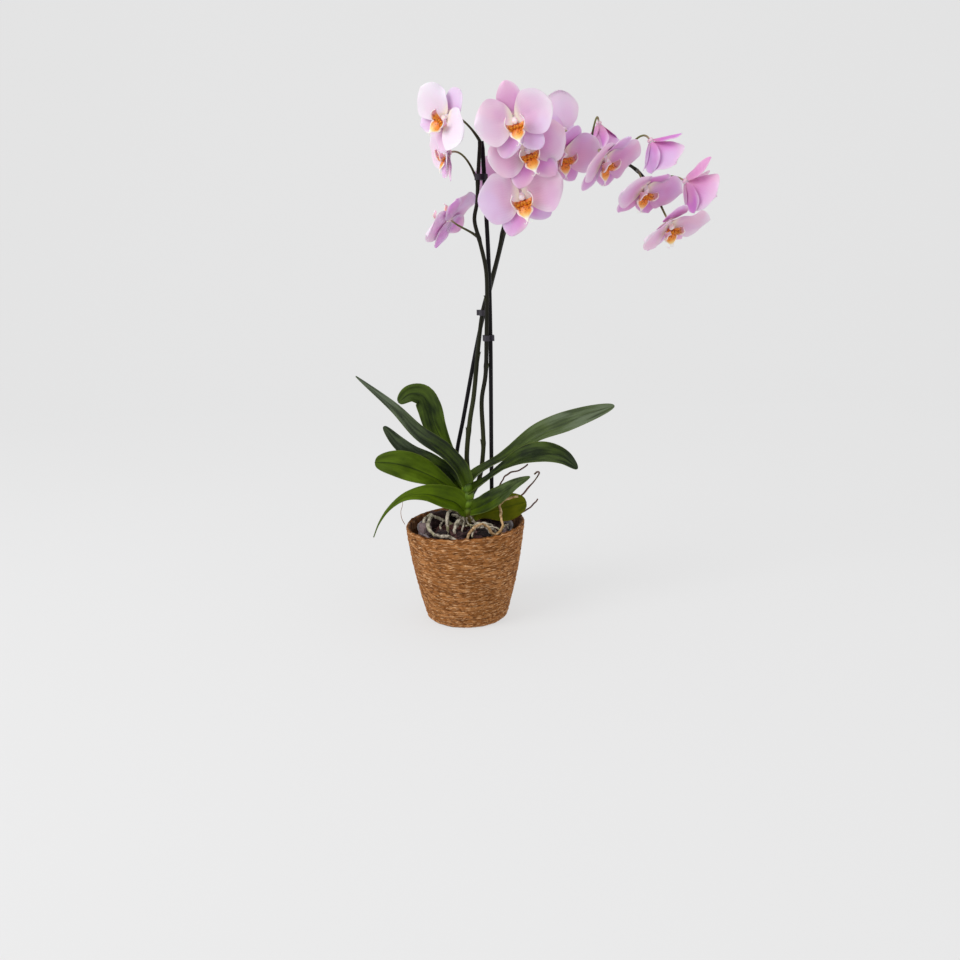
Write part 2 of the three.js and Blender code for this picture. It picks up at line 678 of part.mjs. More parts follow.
// One petal or sepal, which leaves the middle at an angle and leans towards the viewer.
function petalSolid(form, angle, lean, rows, cols) {
  const [turnAngle, leanAngle] = [angle, lean].map(THREE.MathUtils.degToRad);
  const out = new THREE.Vector3(Math.cos(turnAngle), Math.sin(turnAngle), 0);
  const across = new THREE.Vector3(-Math.sin(turnAngle), Math.cos(turnAngle), 0);
  const point = (u, v) => {
    const half = halfWidthAt(u, form);
    const reach = form.inner + (form.length - form.inner) * u;
    const p = out.clone().multiplyScalar(reach * Math.cos(leanAngle));
    p.addScaledVector(across, half * v);
    p.z = form.rise + Math.hypot(reach, half * v) * Math.sin(leanAngle) + form.arch * u * u * (v * v + u * u);
    return p;
  };
  return blade(point, rows, cols, BLOOM.thickness);
}

function hubSolid() {
  const { hubRadius, hubDepth, columnRadius, columnLength } = BLOOM;
  const profile = [
    [0, -hubDepth],
    [hubRadius * 0.7, -hubDepth * 0.7],
    [hubRadius, 0],
    [columnRadius + 1, hubDepth],
    [columnRadius, columnLength],
    [0, columnLength + 0.8],
  ];
  return turned(profile, 4);
}

function petalsSolid(bloom) {
  const pieces = [hubSolid()];
  for (const angle of BLOOM.petalAngles) pieces.push(petalSolid(BLOOM.petal, angle, bloom.petal, 4, 2));
  const leans = [bloom.lateral, bloom.lateral].flat();
  BLOOM.lateralAngles.forEach((angle, i) => pieces.push(petalSolid(BLOOM.sepal, angle, leans[i], 3, 1)));
  pieces.push(petalSolid(BLOOM.sepal, BLOOM.dorsalAngle, bloom.dorsal, 3, 1));
  return fuse(pieces);
}

// A lobe of the lip along a curve, cupped towards the middle of the bloom.
function lobeSolid(points, width, cup, rows, cols) {
  const curve = curveThrough(points);
  const side = new THREE.Vector3(1, 0, 0);
  const point = (u, v) => {
    const tangent = curve.getTangentAt(u);
    const up = side.clone().cross(tangent).normalize();
    const half = halfWidthAt(u, { halfWidth: width, base: width * 0.5, peak: 0.6, full: 0.8 });
    const across = cup.clone().cross(tangent).normalize();
    return curve.getPointAt(u).addScaledVector(across, half * v).addScaledVector(up, half * v * v * 0.25);
  };
  return blade(point, rows, cols, LIP.thickness);
}

function lipSolid({ cupped }) {
  const { spread, raise } = cupped ? LIP.cupped : { spread: 1, raise: 0 };
  const drawn = (points, mirror) => points.map(([x, y, z]) => [mirror * spread * x, spread * y, z + raise]);
  const lobes = [
    lobeSolid(drawn(LIP.middle, 1), LIP.middleWidth * spread, new THREE.Vector3(0, 1, 1), 3, 2),
    lobeSolid(drawn(LIP.side, 1), LIP.sideWidth * spread, new THREE.Vector3(1, 0, 0), 2, 1),
    lobeSolid(drawn(LIP.side, -1), LIP.sideWidth * spread, new THREE.Vector3(-1, 0, 0), 2, 1),
  ];
  return fuse(lobes);
}

// The object

function meshOf(name, solid, colour, roughness) {
  const material = new THREE.MeshStandardMaterial({ color: colour, roughness, metalness: 0 });
  const mesh = new THREE.Mesh(toGeometry(solid), material);
  mesh.name = name;
  return mesh;
}

function bloomGroup(bloom, number) {
  const group = new THREE.Group();
  const label = "bloom_" + String(number).padStart(2, "0");
  group.add(meshOf(label + "_petals", petalsSolid(bloom), COLOURS.petal, 0.6));
  group.add(meshOf(label + "_lip", lipSolid(bloom), COLOURS.lip, 0.5));
  group.setRotationFromMatrix(bloomBasis(bloom));
  group.scale.setScalar(bloom.scale);
  group.position.set(...bloom.at);
  return group;
}

const orchid = new THREE.Group();
const stemRoom = stemSolid(GAP);

orchid.add(meshOf("basket", basketSolid(), COLOURS.seagrass, 0.85));
orchid.add(meshOf("nursery_pot", nurseryPotSolid(), COLOURS.potPlastic, 0.35));
orchid.add(meshOf("stem", stemSolid(), COLOURS.stem, 0.5));

const rootColours = [COLOURS.rootGrey, COLOURS.rootTan, COLOURS.rootBrown];
Object.entries(ROOTS).forEach(([name, roots], i) => {
  orchid.add(meshOf(name, mainBody(rootsSolid(roots).subtract(stemRoom)), rootColours[i], 0.8));
});

for (const [name, points] of Object.entries(STICKS))
  orchid.add(meshOf(name, stickSolid(points), COLOURS.stick, 0.45));

const pushedIn = [stemRoom];
for (const roots of Object.values(ROOTS)) pushedIn.push(rootsSolid(roots, GAP));
for (const points of Object.values(STICKS)) pushedIn.push(stickSolid(points, GAP));
orchid.add(meshOf("bark", barkSolid(pushedIn), COLOURS.bark, 0.9));

for (const [name, leaf] of Object.entries(LEAVES)) {
  const colour = name === "leaf_9" ? COLOURS.oldLeaf : COLOURS.leaf;
  orchid.add(meshOf(name, mainBody(leafSolid(leaf).subtract(stemRoom)), colour, 0.4));
}

for (const name of Object.keys(SPIKES))
  orchid.add(meshOf("spike_" + name, mainBody(spikeSolid(name).subtract(stemRoom)), COLOURS.spike, 0.5));

for (const [name, clip] of Object.entries(CLIPS))
  orchid.add(meshOf(name, clipSolid(clip), COLOURS.clip, 0.5));

BLOOMS.forEach((bloom, i) => orchid.add(bloomGroup(bloom, i + 1)));

export default orchid;
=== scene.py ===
"""A potted moth orchid: two flower spikes tied to sticks, nine leaves and aerial roots over bark.

Lengths are in millimetres, as in the solids, until a piece is made. X is to the viewer's right, Y away
from the viewer and Z up. The driving sizes repeat those of the solids.
"""

import math
from collections import namedtuple
from types import SimpleNamespace as Sizes

import bpy
import numpy as np
from mathutils import Matrix, Vector


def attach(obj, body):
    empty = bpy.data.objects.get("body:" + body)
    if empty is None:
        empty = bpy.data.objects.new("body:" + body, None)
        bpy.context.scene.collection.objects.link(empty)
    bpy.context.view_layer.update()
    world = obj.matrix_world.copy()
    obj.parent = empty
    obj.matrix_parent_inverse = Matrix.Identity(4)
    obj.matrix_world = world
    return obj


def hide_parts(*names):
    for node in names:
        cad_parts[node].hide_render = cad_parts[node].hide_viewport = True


MM = 0.001
dice = np.random.default_rng
UP = np.array([0.0, 0.0, 1.0])
RIGHT = np.array([1.0, 0.0, 0.0])

# The viewer's camera, in metres, degrees and, for the lens and the sensor, millimetres.
CAMERA = Sizes(place=(0.020, -1.207, 0.4694), lens=36.675, sensor=36, tilt=76.55, roll=-1.2, far=20)
# Each light's place and size in metres and its power in watts, and the point that they look at.
LIGHTS = [("key", (-1.4, -1.1, 1.6), 1.2, 27), ("fill", (1.6, -1.0, 1.0), 1.4, 3)]
LIT_POINT = (0.03, 0, 0.4)
WORLD_STRENGTH = 0.7
# The floor and backdrop, in metres: it runs level from front to back, bends up and ends at top.
SWEEP = Sizes(front=-3.0, back=1.6, bend=0.9, steps=16, top=4.5, half=5.0, glow=0.61)

# The basket is sewn of rows of cord. unroll is the length of wall for each radian, for its look.
BASKET = Sizes(height=123, base=51, rim=76, belly=2.8, wall=4.5, foot=3, rim_lift=3.2, lift_angle=30,
               rows=19, per_row=8, around=480, unroll=70, groove=1.5, strand=0.8, twists=64, fuller=0.3,
               tones=997, first_tone=12, tone_step=57)
ROW_HEIGHT = BASKET.height / BASKET.rows
# Loose strands of each row and loose fibres: how many, and the least and greatest of what varies.
STRAND = Sizes(count=56, long=(4, 9), climb=(0.8, 2.2), thick=(0.4, 0.75), tone=(0.3, 1.1))
FIBRE = Sizes(count=90, long=(4, 11), lean=(-0.5, 0.7), out=(0.4, 2.2), tone=(0.3, 1), radius=0.28)
# One long fibre that stands off the rim at the left.
LONG_FIBRE = [[-77, -6, 126], [-80.5, -7, 134], [-81.5, -6, 143], [-79, -5, 152], [-80, -4, 160]]
POT = Sizes(bottom=42, rim=60, floor=4.8, height=113, wall=1, lip_out=1.6, lip_tall=3, soft=9, wave=4,
            levels=(40, 80), sides=96)
BARK = Sizes(edge=112, crown=121, crown_radius=22, reach=46, bottom=6.2, seed=11, big=10, small=120, rim=34,
             spread=52, ring=(46, 53))
# The least and greatest length, width and thickness of the chips.
BIG_CHIP = [(14, 23), (9, 14), (4, 7)]
SMALL_CHIP = [(8, 18), (6, 11), (3, 5.5)]
RIM_CHIP = [(10, 17), (7, 11), (4, 7)]

# Large chips that show among the roots: centre, size, turns about X, Y and Z, and tone from dark to pale.
TALL_CHIPS = [
    ([-51, -20, 121], (12, 17, 18), (0.2, 0.1, 0.5), 1.0),
    ([50, -14, 117], (8, 13, 11), (0.1, -0.2, -0.3), 1.0),
    ([-36, 3, 129], (20, 14, 23), (0.2, 0.1, 0.2), 0.45),
    ([-24, 24, 126], (19, 14, 16), (-0.2, 0.3, 0.6), 0.0),
    ([-46, 12, 123], (17, 13, 14), (0.2, -0.3, 1.0), 0.2),
    ([22, 26, 124], (18, 14, 14), (0.2, 0.2, -0.5), 0.15),
    ([40, 14, 121], (17, 12, 12), (-0.3, 0.1, 0.3), 0.3),
    ([-14, -17, 121], (19, 13, 11), (0.4, -0.2, 0.4), 0.8),
    ([24, -34, 118], (17, 12, 9), (0.3, 0.1, -0.4), 0.0),
    ([-2, -36, 118], (15, 12, 9), (-0.2, 0.3, 0.7), 0.3),
    ([-30, -30, 118], (16, 12, 9), (0.3, -0.3, 1.1), 0.05),
]

STEM_PATH = [[2, 2, 104], [3, 1, 130], [4, 0, 160], [4, 1, 190]]
STEM_RADII = [6.5, 8, 8.5, 6]
STEM_RINGS = 26

LEAF = Sizes(thickness=1.6, base=5, tip=0.7, neck=1.3, rows=64, cols=20)
# Midrib, the way the upper face looks along it, outline, how deep it is folded, and colour: from dark (0)
# to bright (1), and how strong its painted grey sheen is, which also raises its gloss.
LEAVES = {
    "leaf_1": Sizes(
        midrib=[[2, -5, 177], [-6, -8, 198], [-24, -14, 221], [-55, -26, 247], [-83, -36, 281],
                [-125, -48, 322]],
        faces=[[0.2, -0.8, 0.5], [0.5, -0.7, 0.5], [0.6, -0.6, 0.5]],
        half=11.5, peak=0.4, full=0.75, fold=0.5, bright=0.08, grey=0.8),
    "leaf_2": Sizes(
        midrib=[[1, 8, 178], [-6, 11, 198], [-21, 13, 219], [-36, 20, 248], [-43, 26, 271], [-51, 27, 286],
                [-66, 24, 289], [-81, 19, 279]],
        faces=[[0.2, -0.9, 0.3], [0.1, -1, 0.1], [0.1, -1, 0.2], [0.1, -0.9, 0.4], [-0.2, -0.9, 0.3]],
        half=15, peak=0.68, full=0.42, fold=0.45, bright=0.28, grey=0.1),
    "leaf_3": Sizes(
        midrib=[[-3, 6, 165], [-18, 13, 187], [-41, 17, 200], [-66, 20, 211], [-85, 24, 227],
                [-102, 29, 247]],
        faces=[[0.2, -0.8, 0.6], [0.3, -0.7, 0.6]],
        half=12, peak=0.6, full=0.48, fold=0.5, bright=0.1, grey=0.35),
    "leaf_4": Sizes(
        midrib=[[-2, 0, 150], [-13, -1, 166], [-31, -2, 181], [-61, -5, 197], [-86, -9, 206],
                [-111, -11, 209]],
        faces=[[0.2, -0.8, 0.6], [0.2, -0.85, 0.5]],
        half=19, peak=0.68, full=0.42, fold=0.5, bright=0.6, grey=0.05),
    "leaf_5": Sizes(
        midrib=[[-1, -5, 140], [-11, -11, 153], [-25, -18, 161], [-49, -26, 170], [-73, -34, 169],
                [-92, -40, 157], [-105, -44, 140], [-113, -47, 122]],
        faces=[[0.1, -0.7, 0.7], [0.1, -0.75, 0.65], [-0.6, -0.6, 0.5]],
        half=16.5, peak=0.22, full=4, neck=2.5, fold=0.45, bright=0.65, grey=0.05),
    "leaf_6": Sizes(
        midrib=[[7, 3, 175], [18, 7, 186], [33, 12, 195], [53, 18, 204], [75, 24, 217], [98, 30, 231],
                [125, 36, 242], [157, 42, 253], [196, 47, 265]],
        faces=[[-0.5, -0.6, 0.6], [-0.5, -0.3, 0.8], [-0.3, -0.65, 0.7], [-0.2, -0.7, 0.7]],
        half=17, peak=0.64, full=0.55, fold=0.8, bright=0.35, grey=0.8),
    "leaf_7": Sizes(
        midrib=[[8, -2, 163], [20, -4, 174], [35, -6, 186], [56, -9, 200], [77, -12, 211], [102, -14, 216],
                [124, -16, 211], [142, -18, 197]],
        faces=[[-0.5, -0.5, 0.7], [-0.5, -0.3, 0.8], [-0.1, -0.6, 0.8], [0.4, -0.6, 0.6]],
        half=16.5, peak=0.66, full=0.55, neck=1.9, fold=0.8, bright=0.2, grey=0.15),
    "leaf_8": Sizes(
        midrib=[[8, -5, 142], [26, -12, 152], [45, -18, 165], [64, -23, 180], [82, -27, 190]],
        faces=[[-0.3, -0.8, 0.5], [-0.35, -0.7, 0.6]],
        half=12.5, peak=0.4, full=0.62, fold=0.35, bright=0.35, grey=0.3),
    "leaf_9": Sizes(
        midrib=[[8, 4, 132], [29, 7, 137], [49, 9, 141], [66, 10, 145], [79, 10, 148]],
        faces=[[0, -0.95, 0.3], [0, -0.95, 0.25]],
        half=17.5, peak=0.66, full=0.42, fold=0.2, bright=0.4, grey=0),
}
OLD_LEAF = "leaf_9"

# A bloom's middle, petals and sepals. Z is the way the bloom looks and angles run anticlockwise from X.
HUB = Sizes(radius=5, depth=3.4, column=9, column_radius=2.7)
PETAL = Sizes(inner=2, length=46, half=25, base=3, peak=0.5, full=0.6, rise=2, arch=-2, grid=(30, 24))
SEPAL = Sizes(inner=2.5, length=43, half=14, base=3, peak=0.5, full=0.52, rise=-1, arch=-1, grid=(24, 14))
PETAL_ANGLES = [9, 171]
SEPAL_ANGLES = [238, 302, 90]
TEPAL_THICK = 0.7

LIP_MIDDLE = [[0, -3.9, 6.5], [0, -9.5, 12], [0, -17.8, 17], [0, -24, 18.5]]
LIP_SIDE = [[2.5, -7, 9], [9, -5, 12], [11, 1, 15], [8, 6, 17]]
LIP_CIRRUS = [[0.5, -23.2, 18.4], [1.8, -25.2, 18.8], [3.6, -25.8, 17.4], [4.4, -24.8, 15.6]]
# The knobs of the callus: two in the middle and one inside each horn, each with its thickness.
LIP_KNOBS = [
    ([[1.3, -6.4, 9.6], [1.8, -7.4, 12], [2.2, -6.6, 14]], 1.7),
    ([[4.6, -7.2, 11], [6.4, -6.6, 13.4], [6.8, -5, 15]], 1.5),
]
LIP = Sizes(middle_half=8, side_half=4.5, thickness=0.8, cirrus=0.42, spread=0.5, raised=3.5)

STALK = Sizes(radii=[2, 1.4, 1.2, 1.2], reach=14, lift=4, gap=0.3)

# A bloom's middle, the turn, tilt and roll of its face, its scale, the share of its spike where its stalk
# leaves, how far its petals, dorsal sepal and lateral sepals lean in degrees, how pale it is, whether it is
# cupped, and how far its stalk runs straight behind it and bends on its way.
Bloom = namedtuple("Bloom", "at face scale joint petal dorsal lateral pale cupped reach bend",
                   defaults=(False, STALK.reach, (0, 0, 0)))
BLOOMS = [
    Bloom([67, -60, 605], (-5, -12, 14), 1, 0.7, 14, 12, (10, 10), 0.25, reach=6, bend=(0, -10, 85)),
    Bloom([81, -36, 576], (6, -16, 20), 1.04, 0.655, 14, -25, (17, 17), 0),
    Bloom([76, -12, 527], (-4, -14, 15), 1.15, 0.6, 14, -4, (14, -24), 0.1),
    Bloom([125, 12, 577], (34, -31, 8), 1.02, 0.755, 25, 26, (13, 13), 0),
    Bloom([133, 72, 606], (-160, 5, 75), 1.06, 0.775, 12, 50, (10, 10), 0.5),
    Bloom([174, 54, 612], (150, -72, 20), 0.9, 0.82, 52, 50, (50, 50), 0, cupped=True),
    Bloom([170, -22, 568], (50, -40, 12), 1.06, 0.875, 21, 30, (16, 16), 0.1),
    Bloom([236, 46, 590], (112, -48, 17), 0.96, 0.885, 52, 32, (46, 46), 0, cupped=True),
    Bloom([217, -32, 534], (27, -50, -1), 1, 0.925, 22, 30, (16, 16), 0),
    Bloom([276, 30, 541], (109, -28, 18), 0.96, 0.955, 50, 20, (44, 44), 0, cupped=True),
    Bloom([247, -26, 493], (38, -52, 28), 1.04, 1, 24, 16, (13, 13), 0.1),
    Bloom([-7, -35, 613], (-44, -10, -50), 0.96, 1, 22, 14, (14, 14), 0.7),
    Bloom([-8, 8, 578], (-75, -10, -10), 0.84, 0.9, 22, 16, (16, 16), 0.4),
    Bloom([-10, 16, 502], (-114, 39, -42), 0.96, 0.76, 0, -2, (-2, -2), 0.2),
    Bloom([62, 52, 550], (-145, 0, 0), 0.96, 0.635, 14, 12, (12, 12), 0.2),
]

# The scale below a joint of a spike: its length, how far it clasps round, and how it stands off and flares.
BRACT = Sizes(length=7, clasp=1.3, proud=0.35, flare=1.1, thickness=0.5, cells=8)

SPIKES = {
    "left": Sizes(
        path=[[4, 5, 144], [6.6, 20, 152], [18, 29, 172], [25, 32, 213], [24.4, 30, 278], [29.7, 22, 311],
              [31.7, 14, 356], [33.2, 8, 405], [32.6, 6, 441], [26, 4, 474], [19.9, 2, 500], [23.3, 2, 520],
              [25.1, 2, 548], [28.3, 2, 589]],
        radii=[3.1, 2.2], blooms=[12, 13, 14], nodes=[0.2, 0.42, 0.6]),
    "right": Sizes(
        path=[[4, 5, 162], [5.7, 20, 172], [3.6, 27, 205], [8.8, 30, 253], [13.9, 32, 281], [21.7, 34, 348],
              [28.2, 34, 391], [37.5, 32, 422], [47.9, 28, 458], [57, 24, 497], [66, 22, 523], [79, 23, 550],
              [100, 26, 571], [126, 30, 581], [153, 31, 580], [178, 27, 574], [198, 20, 565], [215, 12, 553],
              [230, 5, 534], [239, 1, 516]],
        radii=[3.3, 1.7], blooms=[1, 2, 3, 4, 5, 6, 7, 8, 9, 10, 11, 15], nodes=[0.14, 0.3, 0.44, 0.55]),
}

STICK_RADIUS = 2.6
STICKS = {
    "stick_1": [[-22, 34, 60], [-9.9, 40, 205], [-0.3, 41, 251], [24, 43, 366], [46.8, 41, 450],
                [58.6, 38, 494], [72, 34, 540]],
    "stick_2": [[34, 27, 60], [35.2, 30, 187], [36.1, 26, 279], [36.8, 21, 355], [36, 14, 453],
                [33.5, 10.5, 523], [31, 10, 590]],
}

FINE_RADIUS = 1.15
# The colours are the dark and light ones of a root and that of its patches.
ROOTS = {
    "roots_grey": Sizes(
        slot="root_grey", colours=[(84, 74, 58), (204, 194, 176), (142, 140, 98)], radius=2.4,
        paths=[
        [[13, 0, 119], [8, 10, 120], [-3, 10, 119], [-8, 1, 119], [-3, -8, 119], [8, -8, 118], [13, 1, 119]],
        [[-1, -7, 122], [-5, -11, 136], [-14, -15, 146], [-21, -20, 143], [-22, -26, 128], [-24, -30, 108]],
        [[-3, -6, 118], [-8, -14, 133], [-12, -26, 127], [-15, -34, 110]],
        [[-1, -7, 119], [-25, -4, 128], [-42, -6, 137], [-51, -12, 135], [-52, -17, 118], [-50, -18, 104]],
        [[-42, -6, 137], [-46, -22, 134], [-43, -35, 124], [-33, -43, 121], [-20, -49, 121], [-12, -50, 117],
         [-8, -47, 106]],
        [[6, -7, 118], [14, -16, 127], [24, -20, 129], [34, -21, 124], [40, -24, 108]],
        [[8, 4, 118], [20, 18, 128], [27, 34, 126], [29, 43, 106]],
        [[-3, 7, 118], [-14, 20, 129], [-28, 30, 127], [-36, 36, 106]],
        [[2, 8, 116], [8, 24, 127], [6, 40, 125], [2, 48, 106]],
    ], fine=[
        [[-2, -14, 124], [6, -24, 128], [17, -28, 127], [30, -30, 128], [41, -30, 125], [46, -28, 116]],
        [[-17, -28, 116], [-12, -25, 127], [-7, -20, 134], [-3, -9, 138]],
        [[9, -43, 118], [14, -36, 128], [24, -34, 130], [31, -38, 121], [38, -38, 116]],
        [[-42, -12, 137], [-47, -18, 130], [-50, -26, 122], [-48, -32, 114]],
        [[-28, -5, 130], [-31, -16, 127], [-30, -27, 121], [-34, -34, 114]],
        [[44, -18, 116], [50, -20, 124], [54, -16, 126], [55, -10, 117]],
        [[2, -7, 134], [3, -12, 129], [7, -17, 123], [9, -20, 116]],
        [[6, -6, 136], [11, -11, 131], [16, -15, 124], [18, -18, 116]],
        [[-2, -6, 136], [-6, -12, 132], [-9, -19, 125], [-10, -24, 116]],
        [[1, -7, 127], [-2, -14, 129], [-3, -22, 126], [-5, -30, 116]],
        [[8, -4, 128], [14, -8, 126], [22, -12, 121], [26, -15, 115]],
    ]),
    "roots_tan": Sizes(
        slot="root_tan", colours=[(134, 96, 50), (222, 192, 152), (196, 158, 106)], radius=1.9, fine=[],
        paths=[
        [[0, -47, 104], [4, -49, 122], [11, -47, 131], [20, -44, 135], [29, -41, 130], [34, -40, 121],
         [42, -35, 120], [47, -28, 130], [45, -18, 139], [46, -12, 153], [56, -11, 159], [68, -10, 161]],
    ]),
    "roots_brown": Sizes(
        slot="root_brown", colours=[(66, 42, 38), (122, 92, 84), (104, 92, 60)], radius=1.3, fine=[],
        paths=[
        [[38, 20, 104], [38, 22, 135], [42, 22, 159], [48, 22, 172], [54, 22, 181], [62, 22, 185],
         [72, 22, 188], [82, 22, 195]],
        [[38, 20, 104], [52, 20, 138], [66, 20, 148], [76, 20, 157], [86, 20, 169], [94, 20, 178],
         [96, 20, 186], [90, 20, 182]],
        [[38, 20, 104], [52, 15, 127], [64, 13, 133], [73, 13, 134], [82, 13, 138], [89, 13, 144],
         [94, 13, 151]],
    ]),
}


# Curves and grids


def unit(vectors):
    return vectors / np.maximum(np.linalg.norm(vectors, axis=-1, keepdims=True), 1e-9)


def blend(values, t):
    """The value at each share t of a list of values or vectors that are spread evenly."""
    values = np.asarray(values, float)
    place = np.clip(t, 0, 1) * (len(values) - 1)
    low = np.minimum(place.astype(int), len(values) - 2)
    share = place - low
    if values.ndim > 1:
        share = share[..., None]
    return values[low] + (values[low + 1] - values[low]) * share


def rise(low, high, x):
    """0 below low, 1 above high and smooth between them."""
    t = np.clip((x - low) / (high - low), 0, 1)
    return t * t * (3 - 2 * t)


def eased(rows):
    """A column of shares from 0 to 1 that lie closer together at both ends."""
    return (0.5 - 0.5 * np.cos(math.pi * np.arange(rows + 1) / rows))[:, None]


def turns(count):
    """Angles spread evenly round a circle."""
    return np.linspace(0, 2 * math.pi, count, endpoint=False)


def polar(radius, angle, z):
    """Points at an angle round the pot's axis, a radius from it and a height."""
    return np.stack(np.broadcast_arrays(radius * np.cos(angle), radius * np.sin(angle), z), axis=-1)


class Curve:
    """A curve that is read by share of its length."""

    def __init__(self, dense):
        self.dense = dense
        steps = np.linalg.norm(np.diff(dense, axis=0), axis=1)
        self.lengths = np.concatenate([[0], np.cumsum(steps)])
        self.length = self.lengths[-1]

    def at(self, u):
        place = np.clip(u, 0, 1) * self.length
        return np.stack([np.interp(place, self.lengths, self.dense[:, axis]) for axis in range(3)], axis=-1)

    def tangent(self, u):
        step = 0.004
        return unit(self.at(np.minimum(u + step, 1)) - self.at(np.maximum(u - step, 0)))


def through(points, samples=40):
    """The centripetal curve through points, as in the solids."""
    points = np.asarray(points, float)
    padded = np.vstack([2 * points[0] - points[1], points, 2 * points[-1] - points[-2]])
    t = np.linspace(0, 1, samples, endpoint=False)[:, None]
    dense = []
    for i in range(len(points) - 1):
        p = padded[i:i + 4]
        d = np.linalg.norm(np.diff(p, axis=0), axis=1) ** 0.5
        start = ((p[1] - p[0]) / d[0] - (p[2] - p[0]) / (d[0] + d[1]) + (p[2] - p[1]) / d[1]) * d[1]
        end = ((p[2] - p[1]) / d[1] - (p[3] - p[1]) / (d[1] + d[2]) + (p[3] - p[2]) / d[2]) * d[1]
        square = -3 * p[1] + 3 * p[2] - 2 * start - end
        cube = 2 * p[1] - 2 * p[2] + start + end
        dense.append(p[1] + start * t + square * t**2 + cube * t**3)
    return Curve(np.vstack(dense + [points[-1:]]))


def bezier(a, b, c, d, samples=80):
    t = np.linspace(0, 1, samples)[:, None]
    return Curve((1 - t)**3 * a + 3 * (1 - t)**2 * t * b + 3 * (1 - t) * t**2 * c + t**3 * d)


def half_width(u, half, base, peak, full, tip=0.6, neck=None):
    """Half the width of a leaf or petal at share u of its length, as in the solids."""
    neck = full if neck is None else neck
    warped = u ** (math.log(0.5) / math.log(peak))
    swell = np.maximum(np.sin(math.pi * warped), 0) ** (neck + (full - neck) * u)
    return base * (1 - u) + tip * u + (half - base * (1 - peak)) * swell


def waves(seed, count, *coordinates):
    """A smooth uneven field between about -1 and 1, from sines with seeded slopes and phases."""
    draw = dice(seed)
    total = 0
    for _ in range(count):
        phase = draw.uniform(0, 2 * math.pi)
        for coordinate in coordinates:
            phase = phase + coordinate * draw.uniform(0.5, 1.5) * draw.choice([-1, 1])
        total = total + np.sin(phase)
    return total / count**0.5 / 1.4


def grid_faces(rows, cols, closed=False):
    """Quads of a grid of points with rows + 1 lines of cols + 1 points, or of cols where it closes."""
    width = cols if closed else cols + 1
    i, j = np.meshgrid(np.arange(rows), np.arange(cols), indexing="ij")
    k = (j + 1) % width
    quads = np.stack([i * width + j, (i + 1) * width + j, (i + 1) * width + k, i * width + k], axis=-1)
    return quads.reshape(-1, 4)


def round_faces(rows, sides):
    """Quads of rings of points, facing out."""
    return grid_faces(rows, sides, closed=True)[:, ::-1]


class Shape:
    """The points, faces and values per point of a piece while it is built up."""

    def __init__(self, *names):
        self.points = []
        self.faces = []
        self.values = {name: [] for name in names}
        self.count = 0

    def add(self, points, *faces, **values):
        """Adds points, arrays of faces over them, and values that are one number or one per point."""
        points = points.reshape(-1, 3)
        self.points.append(points)
        for group in faces:
            self.faces += (group + self.count).tolist()
        for name, kept in self.values.items():
            kept.append(np.broadcast_to(np.ravel(values.get(name, 0.0)), len(points)))
        self.count += len(points)


def unmoved(points):
    return points


def sheet(shape, middle, thickness, place=unmoved, **values):
    """A blade round a grid of middle points: front, back and edge. side is 0 in front and 1 behind."""
    rows, cols = middle.shape[0] - 1, middle.shape[1] - 1
    along, across = np.gradient(middle, axis=0), np.gradient(middle, axis=1)
    offset = unit(np.cross(along, across)) * np.broadcast_to(thickness, middle.shape[:2])[..., None] / 2
    points = place(np.stack([middle + offset, middle - offset]).reshape(-1, 3))
    layer = (rows + 1) * (cols + 1)
    front = grid_faces(rows, cols)
    number = np.arange(layer).reshape(rows + 1, cols + 1)
    ring = np.concatenate([number[:-1, 0], number[-1, :-1], number[:0:-1, -1], number[0, :0:-1]])
    after = np.roll(ring, -1)
    edge = np.stack([ring, ring + layer, after + layer, after], axis=-1)
    faces = np.vstack([front, front[:, ::-1] + layer, edge])
    twice = {name: np.tile(np.ravel(np.broadcast_to(value, middle.shape[:2])), 2)
             for name, value in values.items()}
    shape.add(points, faces, side=np.repeat([0.0, 1.0], layer), **twice)


def square_to(along):
    """A direction square to another."""
    return unit(np.cross(along, UP if abs(along[2]) < 0.9 else RIGHT))


def tube(shape, curve, radius, sides, steps, place=unmoved, **values):
    """A closed tube. radius takes grids of the share along it and of the angle round it."""
    u = np.linspace(0, 1, steps + 1)
    centres, tangents = curve.at(u), curve.tangent(u)
    normals = [square_to(tangents[0])]
    for tangent in tangents[1:]:
        normals.append(unit(normals[-1] - tangent * np.dot(normals[-1], tangent)))
    normals = np.array(normals)
    sideways = np.cross(tangents, normals)
    along, turn = np.meshgrid(u, turns(sides), indexing="ij")
    r = np.broadcast_to(radius(along, turn), along.shape)[..., None]
    circle = normals[:, None] * np.cos(turn)[..., None] + sideways[:, None] * np.sin(turn)[..., None]
    last = steps * sides
    ends = np.array([range(sides), range(last + sides - 1, last - 1, -1)])
    shape.add(place((centres[:, None] + circle * r).reshape(-1, 3)),
              round_faces(steps, sides), ends, **{"u": along, "v": turn / math.pi - 1, **values})


def lathe(shape, profile, sides, place=unmoved, **values):
    """A surface turned from [radius, height] points."""
    profile = np.asarray(profile, float)
    points = polar(profile[:, :1], turns(sides), profile[:, 1:])
    along = np.repeat(np.linspace(0, 1, len(profile)), sides)
    faces = round_faces(len(profile) - 1, sides)
    shape.add(place(points.reshape(-1, 3)), faces, u=along, **values)


# Materials


def srgb(red, green, blue):
    """A screen colour, 0 to 255, as the linear colour that a shader takes."""
    parts = [c / 255 for c in (red, green, blue)]
    return tuple(c / 12.92 if c <= 0.04045 else ((c + 0.055) / 1.055)**2.4 for c in parts) + (1.0,)


